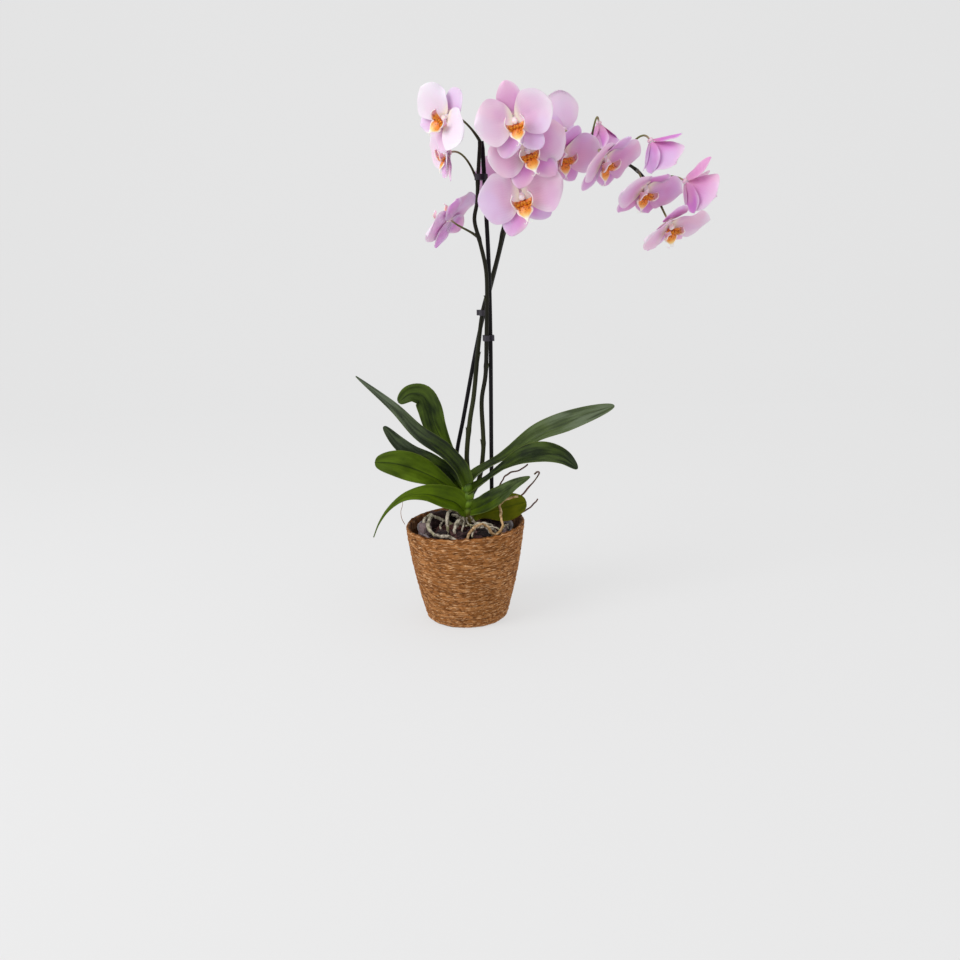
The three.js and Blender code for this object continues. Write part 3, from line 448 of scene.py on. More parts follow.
class Look:
    """A procedural material while its nodes are put together. Its colours are screen colours."""

    def __init__(self, name, **sockets):
        self.material = bpy.data.materials.new(name)
        self.material.use_nodes = True
        self.tree = self.material.node_tree
        self.shader = self.tree.nodes["Principled BSDF"]
        for key, value in sockets.items():
            self.set(key, value)

    def set(self, key, value):
        """Feeds a socket of the shader, with underscores for the spaces in its name."""
        self.feed(self.shader.inputs[key.replace("_", " ")], value)

    def feed(self, socket, value):
        if isinstance(value, bpy.types.NodeSocket):
            self.tree.links.new(value, socket)
        else:
            socket.default_value = srgb(*value) if socket.type == "RGBA" else value

    def node(self, kind, *inputs, **settings):
        made = self.tree.nodes.new("ShaderNode" + kind)
        for key, value in settings.items():
            setattr(made, key, value)
        for socket, value in zip(made.inputs, inputs):
            self.feed(socket, value)
        return made

    def value(self, name):
        """A value per point that the piece carries."""
        return self.node("Attribute", attribute_name=name).outputs["Fac"]

    def values(self, names):
        return [self.value(name) for name in names.split()]

    def place(self, stretch=1.0):
        """Where a point is, in metres, with its height stretched."""
        mapping = self.node("Mapping", self.node("TexCoord").outputs["Object"])
        mapping.inputs["Scale"].default_value = (1.0, 1.0, stretch)
        return mapping.outputs[0]

    def vector(self, *parts):
        return self.node("CombineXYZ", *parts).outputs[0]

    def noise(self, scale, detail=3, rough=0.55, at=None):
        """Clouds round 0.5, over a point's place or another vector."""
        made = self.node("TexNoise", self.place() if at is None else at)
        for key, value in (("Scale", scale), ("Detail", detail), ("Roughness", rough)):
            self.feed(made.inputs[key], value)
        return made.outputs[0]

    def cells(self, scale):
        """The distance to the nearest of many scattered points."""
        made = self.node("TexVoronoi", self.place())
        self.feed(made.inputs["Scale"], scale)
        return made.outputs["Distance"]

    def math(self, operation, a, b=0.5, clamp=False):
        return self.node("Math", a, b, operation=operation, use_clamp=clamp).outputs[0]

    def plus(self, a, b, clamp=False):
        return self.math("ADD", a, b, clamp)

    def minus(self, a, b):
        return self.math("SUBTRACT", a, b)

    def times(self, a, b):
        return self.math("MULTIPLY", a, b)

    def size(self, a):
        return self.math("ABSOLUTE", a)

    def ridges(self, wave, a, sharp):
        """Ridges from 0 to 1, of a SINE or COSINE."""
        return self.math("POWER", self.size(self.math(wave, a)), sharp)

    def step(self, low, high, value, to_low=0.0, to_high=1.0):
        """Smooth step from to_low to to_high while the value runs from low to high."""
        made = self.node("MapRange", value, low, high, to_low, to_high, interpolation_type="SMOOTHSTEP")
        return made.outputs[0]

    def mix(self, share, a, b):
        made = self.node("Mix", data_type="RGBA")
        for index, value in ((0, share), (6, a), (7, b)):
            self.feed(made.inputs[index], value)
        return made.outputs[2]

    def tint(self, base, colour, value, low, high, most=1.0):
        """A base with a colour laid over it by the share most, while the value runs from low to high."""
        return self.mix(self.step(low, high, value, 0.0, most), base, colour)

    def ramp(self, share, *stops):
        """Colours along a share: each stop has its place and a screen colour."""
        made = self.node("ValToRGB", share)
        elements = made.color_ramp.elements
        while len(elements) < len(stops):
            elements.new(0.5)
        for element, (position, *colour) in zip(elements, stops):
            element.position = position
            element.color = srgb(*colour)
        return made.outputs[0]

    def done(self, colour, relief=None, height=0.0, strength=1.0):
        """The finished material, with a fine relief whose height is in millimetres."""
        self.set("Base_Color", colour)
        if relief is not None:
            made = self.node("Bump")
            for key, value in (("Strength", strength), ("Distance", height * MM), ("Height", relief)):
                self.feed(made.inputs[key], value)
            self.set("Normal", made.outputs[0])
        return self.material


def petal_look():
    """Pale lilac petals with lighter edges and a whitish middle, and pinker sepals, most of all behind."""
    look = Look("petal_look", Roughness=0.5, Subsurface_Weight=0.3, Subsurface_Scale=0.003,
                Subsurface_Radius=(1.0, 0.6, 0.8))
    u, v, side, sepal, pale = look.values("u v side sepal pale")
    petal_front = look.ramp(u, (0, 240, 226, 222), (0.13, 232, 202, 218), (0.4, 220, 172, 208),
                            (0.75, 223, 186, 215), (1, 236, 216, 231))
    sepal_front = look.ramp(u, (0, 238, 222, 222), (0.2, 208, 124, 196), (0.6, 210, 138, 204),
                            (1, 222, 180, 218))
    petal_back = look.ramp(u, (0, 216, 140, 196), (0.4, 218, 152, 210), (1, 234, 200, 228))
    sepal_back = look.ramp(u, (0, 208, 132, 170), (0.25, 204, 96, 194), (1, 212, 134, 212))
    front = look.mix(sepal, petal_front, sepal_front)
    back = look.mix(sepal, petal_back, sepal_back)
    rim = look.times(look.step(0.5, 1, look.size(v), 0, 0.6), look.step(0.1, 0.4, u))
    edged = look.mix(rim, look.mix(side, front, back), (238, 222, 235))
    hue = look.noise(17, 1.5)
    cool = look.tint(edged, (216, 186, 230), hue, 0.5, 0.64, 0.6)
    warm = look.tint(cool, (230, 174, 200), hue, 0.48, 0.36, 0.6)
    patch = look.times(look.step(0.46, 0.68, look.noise(26, 2), 0, 0.6), look.step(0.95, 0.3, u))
    blushed = look.mix(patch, warm, (206, 130, 190))
    fan = look.plus(look.times(v, 30), look.times(look.noise(90), 6))
    veins = look.times(look.ridges("SINE", fan, 8), look.step(0.9, 0.1, u, 0, 0.14))
    veined = look.mix(veins, blushed, (190, 110, 172))
    whitened = look.mix(pale, veined, (238, 230, 240))
    throat = look.times(look.step(0.22, 0.02, u), look.minus(1, side))
    return look.done(look.mix(throat, whitened, (246, 230, 214)), look.noise(500), 0.12, 0.4)


def column_look():
    look = Look("column_look", Roughness=0.4, Subsurface_Weight=0.3, Subsurface_Scale=0.002)
    base = look.ramp(look.value("u"), (0, 226, 190, 205), (0.45, 240, 226, 230), (1, 246, 238, 238))
    return look.done(look.mix(look.times(look.noise(260), 0.25), base, (214, 160, 196)))


def lip_look():
    """Orange lip with red-brown spots and a white tip; its upright side lobes are white-edged."""
    look = Look("lip_look", Roughness=0.35, Subsurface_Weight=0.2, Subsurface_Scale=0.002)
    u, v, lobe = look.values("u v lobe")
    middle = look.ramp(u, (0, 204, 90, 18), (0.3, 228, 118, 22), (0.58, 238, 152, 44), (0.74, 246, 206, 132),
                       (0.86, 250, 244, 238))
    wing = look.ramp(u, (0, 220, 100, 24), (0.3, 238, 156, 48), (0.55, 216, 158, 172), (1, 228, 190, 210))
    shown = look.times(look.step(0.75, 0.35, u), 0.75)
    spots = look.times(look.step(0.48, 0.3, look.cells(430)), shown)
    marked = look.mix(spots, look.mix(lobe, middle, wing), (142, 42, 12))
    rim = look.times(look.step(0.62, 0.95, look.size(v), 0, 0.9), look.step(0.2, 0.45, u))
    return look.done(look.mix(rim, marked, (250, 240, 238)), look.noise(700), 0.15, 0.5)


def callus_look():
    look = Look("callus_look", Roughness=0.35)
    return look.done(look.tint((236, 150, 34), (152, 42, 14), look.cells(900), 0.45, 0.25))


def leaf_look(name, dark, bright, under, brim):
    """Leathery leaf: fine lines along it, cloudy tone, painted shade in the midrib crease, a painted grey
    sheen.
    """
    look = Look(name)
    u, v, side, tone, grey = look.values("u v side tone grey")
    cloud = look.noise(22, 4)
    streak = look.noise(1.6, 2, at=look.vector(look.times(u, 2.2), look.times(v, 1.3)))
    grain = look.noise(4, 4, at=look.vector(look.times(u, 3), look.times(v, 16)))
    spread = look.times(look.minus(look.plus(cloud, streak), 1), 1.4)
    top = look.mix(look.plus(tone, spread, clamp=True), dark, bright)
    # Painted shade: the blade is darkened along the midrib crease.
    crease_shaded = look.tint(top, dark, look.size(v), 0.09, 0, 0.8)
    # Painted sheen: a grey reflection of light laid over the outer part of the blade.
    shine = look.times(look.times(grey, look.step(0.4, 0.62, streak, 0.3)), look.step(0.3, 0.75, u))
    sheen = look.mix(shine, crease_shaded, (104, 116, 94))
    lined = look.tint(sheen, under, grain, 0.4, 0.75, 0.08)
    edged = look.tint(lined, brim, look.size(v), 0.93, 1, 0.45)
    footed = look.tint(edged, (92, 116, 26), u, 0.16, 0, 0.4)
    look.set("Roughness", look.step(0.3, 0.7, cloud, 0.34, 0.5))
    look.set("Specular_IOR_Level", look.step(0, 0.8, grey, 0.08, 0.2))
    return look.done(look.mix(side, footed, under), look.plus(grain, look.times(cloud, 0.8)), 0.4, 0.7)


def stem_look():
    """Light green with dark rings, and brown at its foot."""
    look = Look("stem_look", Roughness=0.5, Specular_IOR_Level=0.3)
    u = look.value("u")
    cloud = look.noise(120, 4, at=look.place(0.4))
    green = look.tint((58, 88, 5), (116, 144, 30), cloud, 0.3, 0.7)
    rings = look.times(look.ridges("COSINE", look.times(u, STEM_RINGS), 6), 0.55)
    ringed = look.mix(rings, green, (36, 40, 10))
    rough_edge = look.plus(u, look.times(cloud, 0.2))
    return look.done(look.tint(ringed, (116, 98, 52), rough_edge, 0.62, 0.34), cloud, 1)


def spike_look():
    """Dark green below and nearly black above; the flower stalks turn pale towards the blooms."""
    look = Look("spike_look", Roughness=0.42, Specular_IOR_Level=0.15)
    stalk, u = look.values("stalk u")
    cloud = look.noise(90, 4, at=look.place(0.3))
    low = look.mix(cloud, (26, 31, 11), (54, 57, 28))
    high = look.mix(cloud, (14, 15, 9), (34, 32, 20))
    pale = look.ramp(u, (0, 36, 36, 22), (0.45, 64, 62, 36), (0.8, 112, 112, 64), (1, 176, 156, 130))
    colour = look.mix(stalk, look.tint(low, high, u, 0.1, 0.42), pale)
    return look.done(colour, look.noise(900, at=look.place(0.15)), 0.25, 0.6)


def seagrass_look():
    """Copper strands with short pale strokes, and painted shade in dark gap flecks and in the grooves."""
    look = Look("seagrass_look", Roughness=0.7, Specular_IOR_Level=0.1)
    tone, depth, around, height = look.values("tone depth around height")
    base = look.ramp(tone, (0, 128, 78, 37), (0.5, 157, 101, 53), (1, 183, 126, 76))
    toned = look.tint(base, (142, 92, 42), look.noise(22), 0.4, 0.65, 0.3)
    along = look.times(around, 0.11)
    up = look.plus(look.times(height, 0.7), look.times(around, 0.02))
    stroke = look.noise(1, 2, at=look.vector(along, up))
    # Painted shade: dark flecks that stand for the shade in gaps among the strands.
    gap = look.noise(1.1, 2, at=look.vector(along, up, 7))
    stroked = look.tint(toned, (226, 178, 132), stroke, 0.52, 0.66, 0.85)
    gap_shaded = look.tint(stroked, (84, 46, 20), gap, 0.54, 0.68, 0.85)
    # Painted shade: where depth is low, in the grooves between cords and inside the basket, the colour is
    # darkened.
    groove_shaded = look.tint(gap_shaded, (58, 28, 12), depth, 0.55, 0, 0.9)
    return look.done(groove_shaded, look.minus(stroke, look.times(gap, 0.7)), 2.2)


def pot_look():
    """Clouded thin plastic."""
    look = Look("pot_look", Transmission_Weight=0.3)
    cloud = look.noise(90, 5, 0.65)
    look.set("Roughness", look.step(0.3, 0.7, cloud, 0.25, 0.5))
    return look.done(look.tint((54, 42, 46), (150, 136, 140), cloud, 0.4, 0.62))


def bark_look():
    look = Look("bark_look", Roughness=0.85, Specular_IOR_Level=0.3)
    layers = look.noise(160, 5, 0.65, at=look.place(3))
    base = look.ramp(look.value("tone"), (0, 20, 13, 15), (0.5, 46, 28, 30), (0.8, 86, 46, 40),
                     (1, 128, 110, 112))
    layered = look.tint(base, (104, 76, 74), layers, 0.45, 0.72, 0.5)
    return look.done(look.tint(layered, (136, 118, 112), look.noise(420), 0.6, 0.72, 0.3), layers, 1.8)


def root_look(name, low, high, patch):
    look = Look(name, Roughness=0.75, Specular_IOR_Level=0.25)
    base = look.tint(low, high, look.noise(170, 5, 0.7), 0.36, 0.6)
    patched = look.tint(base, patch, look.noise(60), 0.52, 0.66, 0.75)
    return look.done(patched, look.noise(520, 4), 0.8, 0.9)


def stick_look():
    look = Look("stick_look", Specular_IOR_Level=0.12)
    cloud = look.noise(300, 2, at=look.place(0.05))
    look.set("Roughness", look.step(0.3, 0.7, cloud, 0.28, 0.5))
    return look.done(look.mix(cloud, (8, 7, 9), (24, 21, 24)))


def clip_look():
    look = Look("clip_look", Roughness=0.5)
    return look.done(look.mix(look.noise(500, 2), (26, 22, 30), (48, 42, 54)))


# Pieces


def put(name, data):
    """Adds an object to the scene."""
    made = bpy.data.objects.new(name, data)
    bpy.context.scene.collection.objects.link(made)
    return made


def piece(name, shape, material, slot, *nodes):
    """Makes a mesh of a shape that stands for the CAD nodes named."""
    mesh = bpy.data.meshes.new(name)
    mesh.from_pydata((np.vstack(shape.points) * MM).tolist(), [], shape.faces)
    for key, parts in shape.values.items():
        attribute = mesh.attributes.new(key, "FLOAT", "POINT")
        attribute.data.foreach_set("value", np.concatenate(parts).astype(np.float32))
    mesh.shade_smooth()
    mesh.materials.append(material)
    made = put(name, mesh)
    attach(made, "root")
    if nodes:
        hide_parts(*nodes)


def basket_radius(z):
    share = z / BASKET.height
    straight = BASKET.base + (BASKET.rim - BASKET.base) * share
    return straight + BASKET.belly * np.sin(math.pi * share)


def drawn_in(z):
    """How far the wall draws in where it turns under the basket."""
    return BASKET.foot * (1 - rise(0, 5, z))


def lifted(z, angle):
    """The height of the basket's soft rim, which stands a little higher on one side."""
    lift = BASKET.rim_lift * (1 + np.cos(angle - math.radians(BASKET.lift_angle)))
    return z + np.where(z > BASKET.wall, (z / BASKET.height)**2 * lift, 0)


def basket_weave(angle, z):
    """Groove depth, which sets painted shade, tone and how far out a point lies, for rows of twisted cord.
    """
    wander = 0.8 * waves(5, 4, 3 * angle, z / 16) + 0.5 * waves(6, 5, 17 * angle, z / 4)
    place = np.clip((z + wander) / ROW_HEIGHT, 0, BASKET.rows - 1e-3)
    row = place.astype(int)
    s = place - row
    bulge = np.sqrt(np.clip(1 - (2 * s - 1)**2, 0, 1))
    phase = dice(3).uniform(0, 1, BASKET.rows)[row]
    drift = 0.9 * waves(7, 6, 14 * angle, row * 1.7)
    twist = angle / (2 * math.pi) * BASKET.twists + phase + 0.9 * s + drift
    strand = np.abs(np.sin(math.pi * twist))**0.6
    index = np.floor(twist).astype(int) + BASKET.tone_step * row + BASKET.first_tone
    tone = dice(4).uniform(0, 1, BASKET.tones)[index % BASKET.tones]
    rough = 0.3 * waves(9, 7, 60 * angle, z * 1.6)
    depth = bulge * (0.7 + 0.3 * strand) + 0.25 * rough
    out = -BASKET.groove * (1 - bulge) - BASKET.strand * (1 - strand) + 0.6 * (tone - 0.5) * bulge + rough
    return depth, tone, out


def make_basket():
    around, rows, height = BASKET.around, BASKET.rows * BASKET.per_row, BASKET.height
    angle = math.pi / 2 + turns(around)
    z, theta = np.meshgrid(np.linspace(0, height, rows + 1), angle, indexing="ij")
    depth, tone, out = basket_weave(theta, z)
    out = out - drawn_in(z) - 1.5 * rise(height - 2.5, height, z)**2
    ripple = (1.1 * waves(8, 5, 9 * theta) + 0.8 * waves(12, 5, 34 * theta)) * (z / height)**8
    outer = polar(basket_radius(z) + out + BASKET.fuller, theta, lifted(z, theta) + ripple)
    shape = Shape("tone", "depth", "around", "height")
    shape.add(outer, round_faces(rows, around), tone=tone, depth=depth, around=theta * BASKET.unroll,
              height=z)
    add_lining(shape, outer, angle)
    add_strands(shape)
    add_fibres(shape)
    piece("basket_weave", shape, seagrass_look(), "seagrass", "basket")


def add_lining(shape, outer, angle):
    """The rim's top, the inner wall and the floor, and the underside.

    Each ring inside has its height, how far in it lies from the wall's outside and how far it is raised.
    """
    height, wall, around = BASKET.height, BASKET.wall, BASKET.around
    inside = [[height, 1.6, 0.6], [height - 1.5, wall, 0], [height * 0.6, wall + 1.2, 0],
              [wall, wall + 1.2, 0], [wall, 60, 0]]
    rings = [outer[-1]]
    for z, inset, proud in inside:
        radius = np.maximum(basket_radius(z) - inset, 2) + 0.4 * waves(10, 5, 40 * angle)
        rings.append(polar(radius, angle, lifted(z, angle) + proud))
    # The depth of each ring sets painted shade: the inner wall darkens from just under the rim and stays
    # dark down to and over the floor, and the underside gets a trace of it.
    depth = np.repeat([0.7, 0.6, 0.2, 0, 0, 0], around)
    shape.add(np.array(rings), round_faces(len(inside), around), tone=0.35, depth=depth,
              around=np.tile(angle * BASKET.unroll, len(rings)),
              height=np.repeat(np.arange(len(rings)) * 9, around))
    foot = np.array([outer[0] * [share, share, 1] for share in (0.02, 0.5, 1)])
    shape.add(foot, round_faces(2, around), tone=0.3, depth=0.5)


def add_strands(shape):
    """Short strands that stand out of the cords, each slanting across its row."""
    draw = dice(23)
    t = np.array([-1, -0.4, 0.4, 1])
    for row in range(BASKET.rows):
        for _ in range(STRAND.count):
            angle, middle = draw.uniform(0, 2 * math.pi), (row + draw.uniform(0.35, 0.65)) * ROW_HEIGHT
            long, climb = draw.uniform(*STRAND.long), draw.uniform(*STRAND.climb)
            thick = draw.uniform(*STRAND.thick)
            turn = angle + t * long / 2 / basket_radius(middle)
            z = np.clip(middle + t * climb, 0.6, BASKET.height - 0.6)
            path = Curve(polar(basket_radius(z) - 0.1 - 0.9 * t**2 - drawn_in(z), turn, lifted(z, turn)))
            tube(shape, path, lambda u, a: thick * (1.1 - (2 * u - 1)**2), 4, 4,
                 tone=draw.uniform(*STRAND.tone), depth=1, around=angle * BASKET.unroll, height=middle)


def add_fibres(shape):
    """Loose ends of grass: most lie close to the wall, a few stand off the rim."""
    draw = dice(21)
    for i in range(FIBRE.count):
        angle, z = draw.uniform(0, 2 * math.pi), draw.uniform(6, BASKET.height - 2)
        if i % 4 == 0:
            z = BASKET.height - 2
        long, lean = draw.uniform(*FIBRE.long), draw.uniform(*FIBRE.lean)
        points = []
        for t in (0, 0.5, 1):
            turn = angle + t * long / basket_radius(z)
            out = basket_radius(z) - 0.4 + t**2 * draw.uniform(*FIBRE.out)
            points.append(polar(out, turn, lifted(z, turn) + t * long * lean * 0.4))
        tube(shape, through(points, 6), lambda u, a: FIBRE.radius * (1.1 - u), 4, 5,
             tone=draw.uniform(*FIBRE.tone), depth=1, around=angle * BASKET.unroll, height=z)
    tube(shape, through(LONG_FIBRE), lambda u, a: 0.42 - 0.2 * u, 5, 24, tone=0.15, depth=0.8)


def pot_radius(z):
    return POT.bottom + (POT.rim - POT.bottom) * (z - POT.floor) / POT.height


def make_pot():
    """The thin pot, whose soft rim stands higher at its two sides and is a little wrinkled."""
    top = POT.floor + POT.height
    edge, lip = pot_radius(top), top - POT.lip_tall
    heights = [POT.floor, *POT.levels, top - POT.soft, lip]
    profile = [[0.5, POT.floor]] + [[pot_radius(z), z] for z in heights]
    profile += [[edge + POT.lip_out, lip + 0.3], [edge + POT.lip_out + 0.2, top - 0.4],
                [edge + POT.lip_out - 0.6, top], [edge - POT.wall, top]]
    profile += [[pot_radius(z) - POT.wall, z + 0.01] for z in reversed(heights[1:-1])]
    profile += [[0.5, POT.floor + POT.wall]]

    def wave(points):
        angle = np.arctan2(points[:, 1], points[:, 0])
        sideways = 2 * (points[:, 0] / POT.rim)**2 - 1
        soft = rise(top - POT.soft, lip, points[:, 2])
        points[:, 2] += soft * (POT.wave * sideways + 1.2 * waves(31, 5, 13 * angle))
        return points

    shape = Shape()
    lathe(shape, profile, POT.sides, wave)
    piece("soft_pot", shape, pot_look(), "pot_plastic", "nursery_pot")


def bark_height(radius):
    share = np.clip((radius - BARK.crown_radius) / (BARK.reach - BARK.crown_radius), 0, 1)
    return BARK.crown + (BARK.edge - BARK.crown) * share


def draws(seed):
    """The solids' sequence of numbers from 0 to 1."""
    state = seed
    while True:
        state = (state * 1664525 + 1013904223) % 4294967296
        yield state / 4294967296


def turn_matrix(x, y, z):
    """Turns about X, then Y, then Z."""
    return np.array(Matrix.Rotation(z, 3, "Z") @ Matrix.Rotation(y, 3, "Y") @ Matrix.Rotation(x, 3, "X"))


def chip_form(draw, ranges, tilt):
    """The size and turns of a chip that lies nearly flat."""
    size = [draw.uniform(low, high) for low, high in ranges]
    return size, (draw.normal(0, tilt), draw.normal(0, tilt), draw.uniform(0, math.pi))


def add_chip(shape, centre, size, angles, seed, cells=6, tone=None):
    """A worn chip of bark: a box with rounded, chipped edges and uneven faces."""
    t = np.linspace(-1, 1, cells + 1)
    a, b = np.meshgrid(t, t, indexing="ij")
    one = np.ones_like(a)
    if tone is None:
        tone = dice(seed).uniform(0, 0.9)
    for axes in ((a, b, one), (b, a, -one), (one, a, b), (-one, b, a), (b, one, a), (a, -one, b)):
        p = np.stack(axes, axis=-1)
        worn = p / np.linalg.norm(p, ord=6, axis=-1, keepdims=True)
        across = np.moveaxis(worn, -1, 0)
        rough = 1 + 0.13 * waves(seed, 5, *2.2 * across) + 0.05 * waves(seed + 1, 6, *7 * across)
        p = worn * rough[..., None] * np.array(size) / 2
        shape.add(p.reshape(-1, 3) @ turn_matrix(*angles).T + centre, grid_faces(cells, cells), tone=tone)


def add_mound(shape):
    """A low uneven mound that fills the pot."""
    reach = pot_radius(BARK.edge) - POT.wall - 0.4
    profile = [[0.5, BARK.bottom], [pot_radius(BARK.bottom) - 1.4, BARK.bottom], [reach, BARK.edge - 1]]
    profile += [[r, bark_height(r) - 1] for r in np.linspace(reach - 2, 0.5, 26)]

    def uneven(points):
        high = points[:, 2] > BARK.edge - 2
        points[:, 2] += high * (waves(41, 6, points[:, 0] / 3, points[:, 1] / 3) - 0.8)
        return points

    lathe(shape, profile, POT.sides, uneven, tone=0.1)


def add_big_chips(shape):
    """The largest chips, which stand where the solid's chips do."""
    number = draws(BARK.seed)
    for i in range(BARK.big):
        angle = i * 2.4 + next(number)
        radius = 12 + (BARK.reach - 8) * math.sqrt((i + 0.5) / BARK.big)
        size = [low + (high - low) * next(number) for low, high in BIG_CHIP]
        angles = (next(number) - 0.5) * 1.6, (next(number) - 0.5) * 1.2, next(number) * math.pi
        add_chip(shape, polar(radius, angle, bark_height(radius) + 0.5), size, angles, 100 + i)


def add_small_chips(shape):
    """Small chips all over the mound, and a ring of them along its edge that is higher behind."""
    draw = dice(5)
    for i in range(BARK.small):
        angle, radius = draw.uniform(0, 2 * math.pi), BARK.spread * math.sqrt(draw.uniform(0.03, 1))
        size, angles = chip_form(draw, SMALL_CHIP, 0.35)
        z = bark_height(radius) + draw.uniform(-0.6, 1.2)
        add_chip(shape, polar(radius, angle, z), size, angles, 200 + 2 * i, cells=4)
    for i in range(BARK.rim):
        angle = 2 * math.pi * (i + draw.uniform(-0.3, 0.3)) / BARK.rim
        radius = draw.uniform(*BARK.ring)
        size, angles = chip_form(draw, RIM_CHIP, 0.5)
        behind = 0.5 + 0.5 * math.sin(angle - 0.4)
        z = BARK.edge + 1 + 7 * behind**2
        add_chip(shape, polar(radius, angle, z), size, angles, 700 + 2 * i, cells=5)


def make_bark():
    shape = Shape("tone")
    add_mound(shape)
    add_big_chips(shape)
    add_small_chips(shape)
    for i, (centre, size, angles, tone) in enumerate(TALL_CHIPS):
        add_chip(shape, centre, size, angles, 900 + 2 * i, tone=tone)
    piece("bark_chips", shape, bark_look(), "bark", "bark")


def make_stem():
    """The short stem, ringed where old leaves have come off."""
    shape = Shape("u")

    def radius(u, angle):
        rings = np.abs(np.sin(u * STEM_RINGS + 0.4 * np.sin(angle)))**0.5
        return blend(STEM_RADII, u) - 1.2 + 1.2 * rings + 0.4 * waves(51, 4, 2 * angle, 9 * u)

    tube(shape, through(STEM_PATH), radius, 40, 70)
    piece("stem_rings", shape, stem_look(), "stem", "stem")


def make_leaf(name, leaf, material, slot):
    """A leaf along its midrib: folded, clasping the stem at its foot and thin at its edges."""
    curve = through(leaf.midrib)
    u = eased(LEAF.rows)
    v = np.linspace(-1, 1, LEAF.cols + 1)[None, :]
    tangent = curve.tangent(u[:, 0])
    across = unit(np.cross(blend(leaf.faces, u[:, 0]), tangent))
    face = np.cross(tangent, across)
    clasp = 1 - rise(0, 0.22, u)
    neck = getattr(leaf, "neck", LEAF.neck)
    half = half_width(u, leaf.half, LEAF.base, leaf.peak, leaf.full, LEAF.tip, neck) + 3 * clasp
    channel = leaf.fold * (1 - u)**1.5 + 0.12 + 0.3 * clasp
    seed = sum(map(ord, name))
    up = half * np.sqrt(v**2 + 0.004) * channel - 0.4 * np.exp(-(v / 0.1)**2)
    up = up + 0.9 * waves(seed, 4, 6 * u, 1.5 * v) * np.abs(v) * np.sin(math.pi * u)
    middle = curve.at(u) + across[:, None] * (half * v)[..., None] + face[:, None] * up[..., None]
    thickness = LEAF.thickness * (1 - 0.72 * np.abs(v)**3) * (1 - 0.3 * u)
    shape = Shape("u", "v", "side", "tone", "grey")
    sheet(shape, middle, thickness, u=u, v=v, tone=leaf.bright, grey=leaf.grey)
    piece(name + "_blade", shape, material, slot, name)


def make_leaves():
    fresh = leaf_look("leaf_look", (14, 27, 3), (82, 105, 4), (80, 98, 36), (122, 134, 62)), "leaf"
    old = leaf_look("old_leaf_look", (72, 84, 2), (124, 126, 8), (132, 112, 40), (168, 128, 62)), "old_leaf"
    for name, leaf in LEAVES.items():
        make_leaf(name, leaf, *(old if name == OLD_LEAF else fresh))


def root_radius(thick, seed):
    """How thick a root is along and round it: it tapers and is uneven and a little knotty."""

    def radius(u, angle):
        uneven = 1 + 0.14 * waves(seed, 5, 16 * u) + 0.1 * waves(seed + 1, 5, 2 * angle, 34 * u)
        return thick * blend([1, 1, 0.8], u) * uneven

    return radius


def bent(path, seed, amount):
    """A path with its inner points moved a little, so that it looks grown."""
    points = through(path).at(np.linspace(0, 1, 3 * len(path)))
    points[1:-1] += dice(seed).normal(0, amount, points[1:-1].shape)
    return points


def make_roots(name, roots):
    shape = Shape()
    for i, path in enumerate(roots.paths):
        curve = through(bent(path, 80 + i, 0.25 * roots.radius))
        tube(shape, curve, root_radius(roots.radius * 0.92, 60 + i), 18, int(curve.length * 1.2))
    for i, path in enumerate(roots.fine):
        curve = through(bent(path, 90 + i, 0.5))
        tube(shape, curve, root_radius(FINE_RADIUS, 160 + i), 12, int(curve.length * 1.3))
    piece(name + "_skin", shape, root_look(roots.slot + "_look", *roots.colours), roots.slot, name)


def make_sticks():
    material = stick_look()
    for name, points in STICKS.items():
        shape = Shape()
        tube(shape, through(points), lambda u, a: STICK_RADIUS * (1 - 0.35 * rise(0.985, 1, u)), 20, 60)
        piece(name + "_rod", shape, material, "stick", name)


def bloom_axes(face):
    """The bloom's right, up and look directions as the columns of a matrix."""
    az, el, roll = (math.radians(angle) for angle in face)
    look = np.array([math.sin(az) * math.cos(el), -math.cos(az) * math.cos(el), math.sin(el)])
    up = np.array([-math.sin(az) * math.sin(el), math.cos(az) * math.sin(el), math.cos(el)])
    basis = np.stack([np.cross(up, look), up, look], axis=1)
    return basis @ np.array(Matrix.Rotation(roll, 3, "Z"))


def bloom_place(bloom):
    """Takes points of a bloom to where it hangs."""
    axes = bloom_axes(bloom.face) * bloom.scale
    return lambda points: points @ axes.T + bloom.at


def stalk_curve(spike, bloom):
    """A stalk leaves the spike at a joint and meets the back of the bloom square on."""
    look = bloom_axes(bloom.face)[:, 2]
    start = spike.at(bloom.joint)
    end = bloom.at - look * (HUB.depth * bloom.scale + STALK.gap)
    before = end - look * bloom.reach
    after = start + (before - start) * 0.4 + UP * STALK.lift + bloom.bend
    return bezier(start, after, before, end)


def add_bract(shape, curve, u, radius, turn):
    """A small pointed scale that clasps the spike below a joint."""
    base, along = curve.at(u), curve.tangent(u)
    side = square_to(along)
    other = np.cross(along, side)
    t = np.linspace(0, 1, BRACT.cells + 1)[:, None]
    a = turn + BRACT.clasp * np.linspace(-1, 1, BRACT.cells + 1)[None, :] * (1 - t**1.5)
    r = radius + BRACT.proud + BRACT.flare * t**2
    ring = side * np.cos(a)[..., None] + other * np.sin(a)[..., None]
    middle = base + along * (t * BRACT.length - 1)[..., None] + ring * r[..., None]
    sheet(shape, middle, BRACT.thickness, u=0.1)


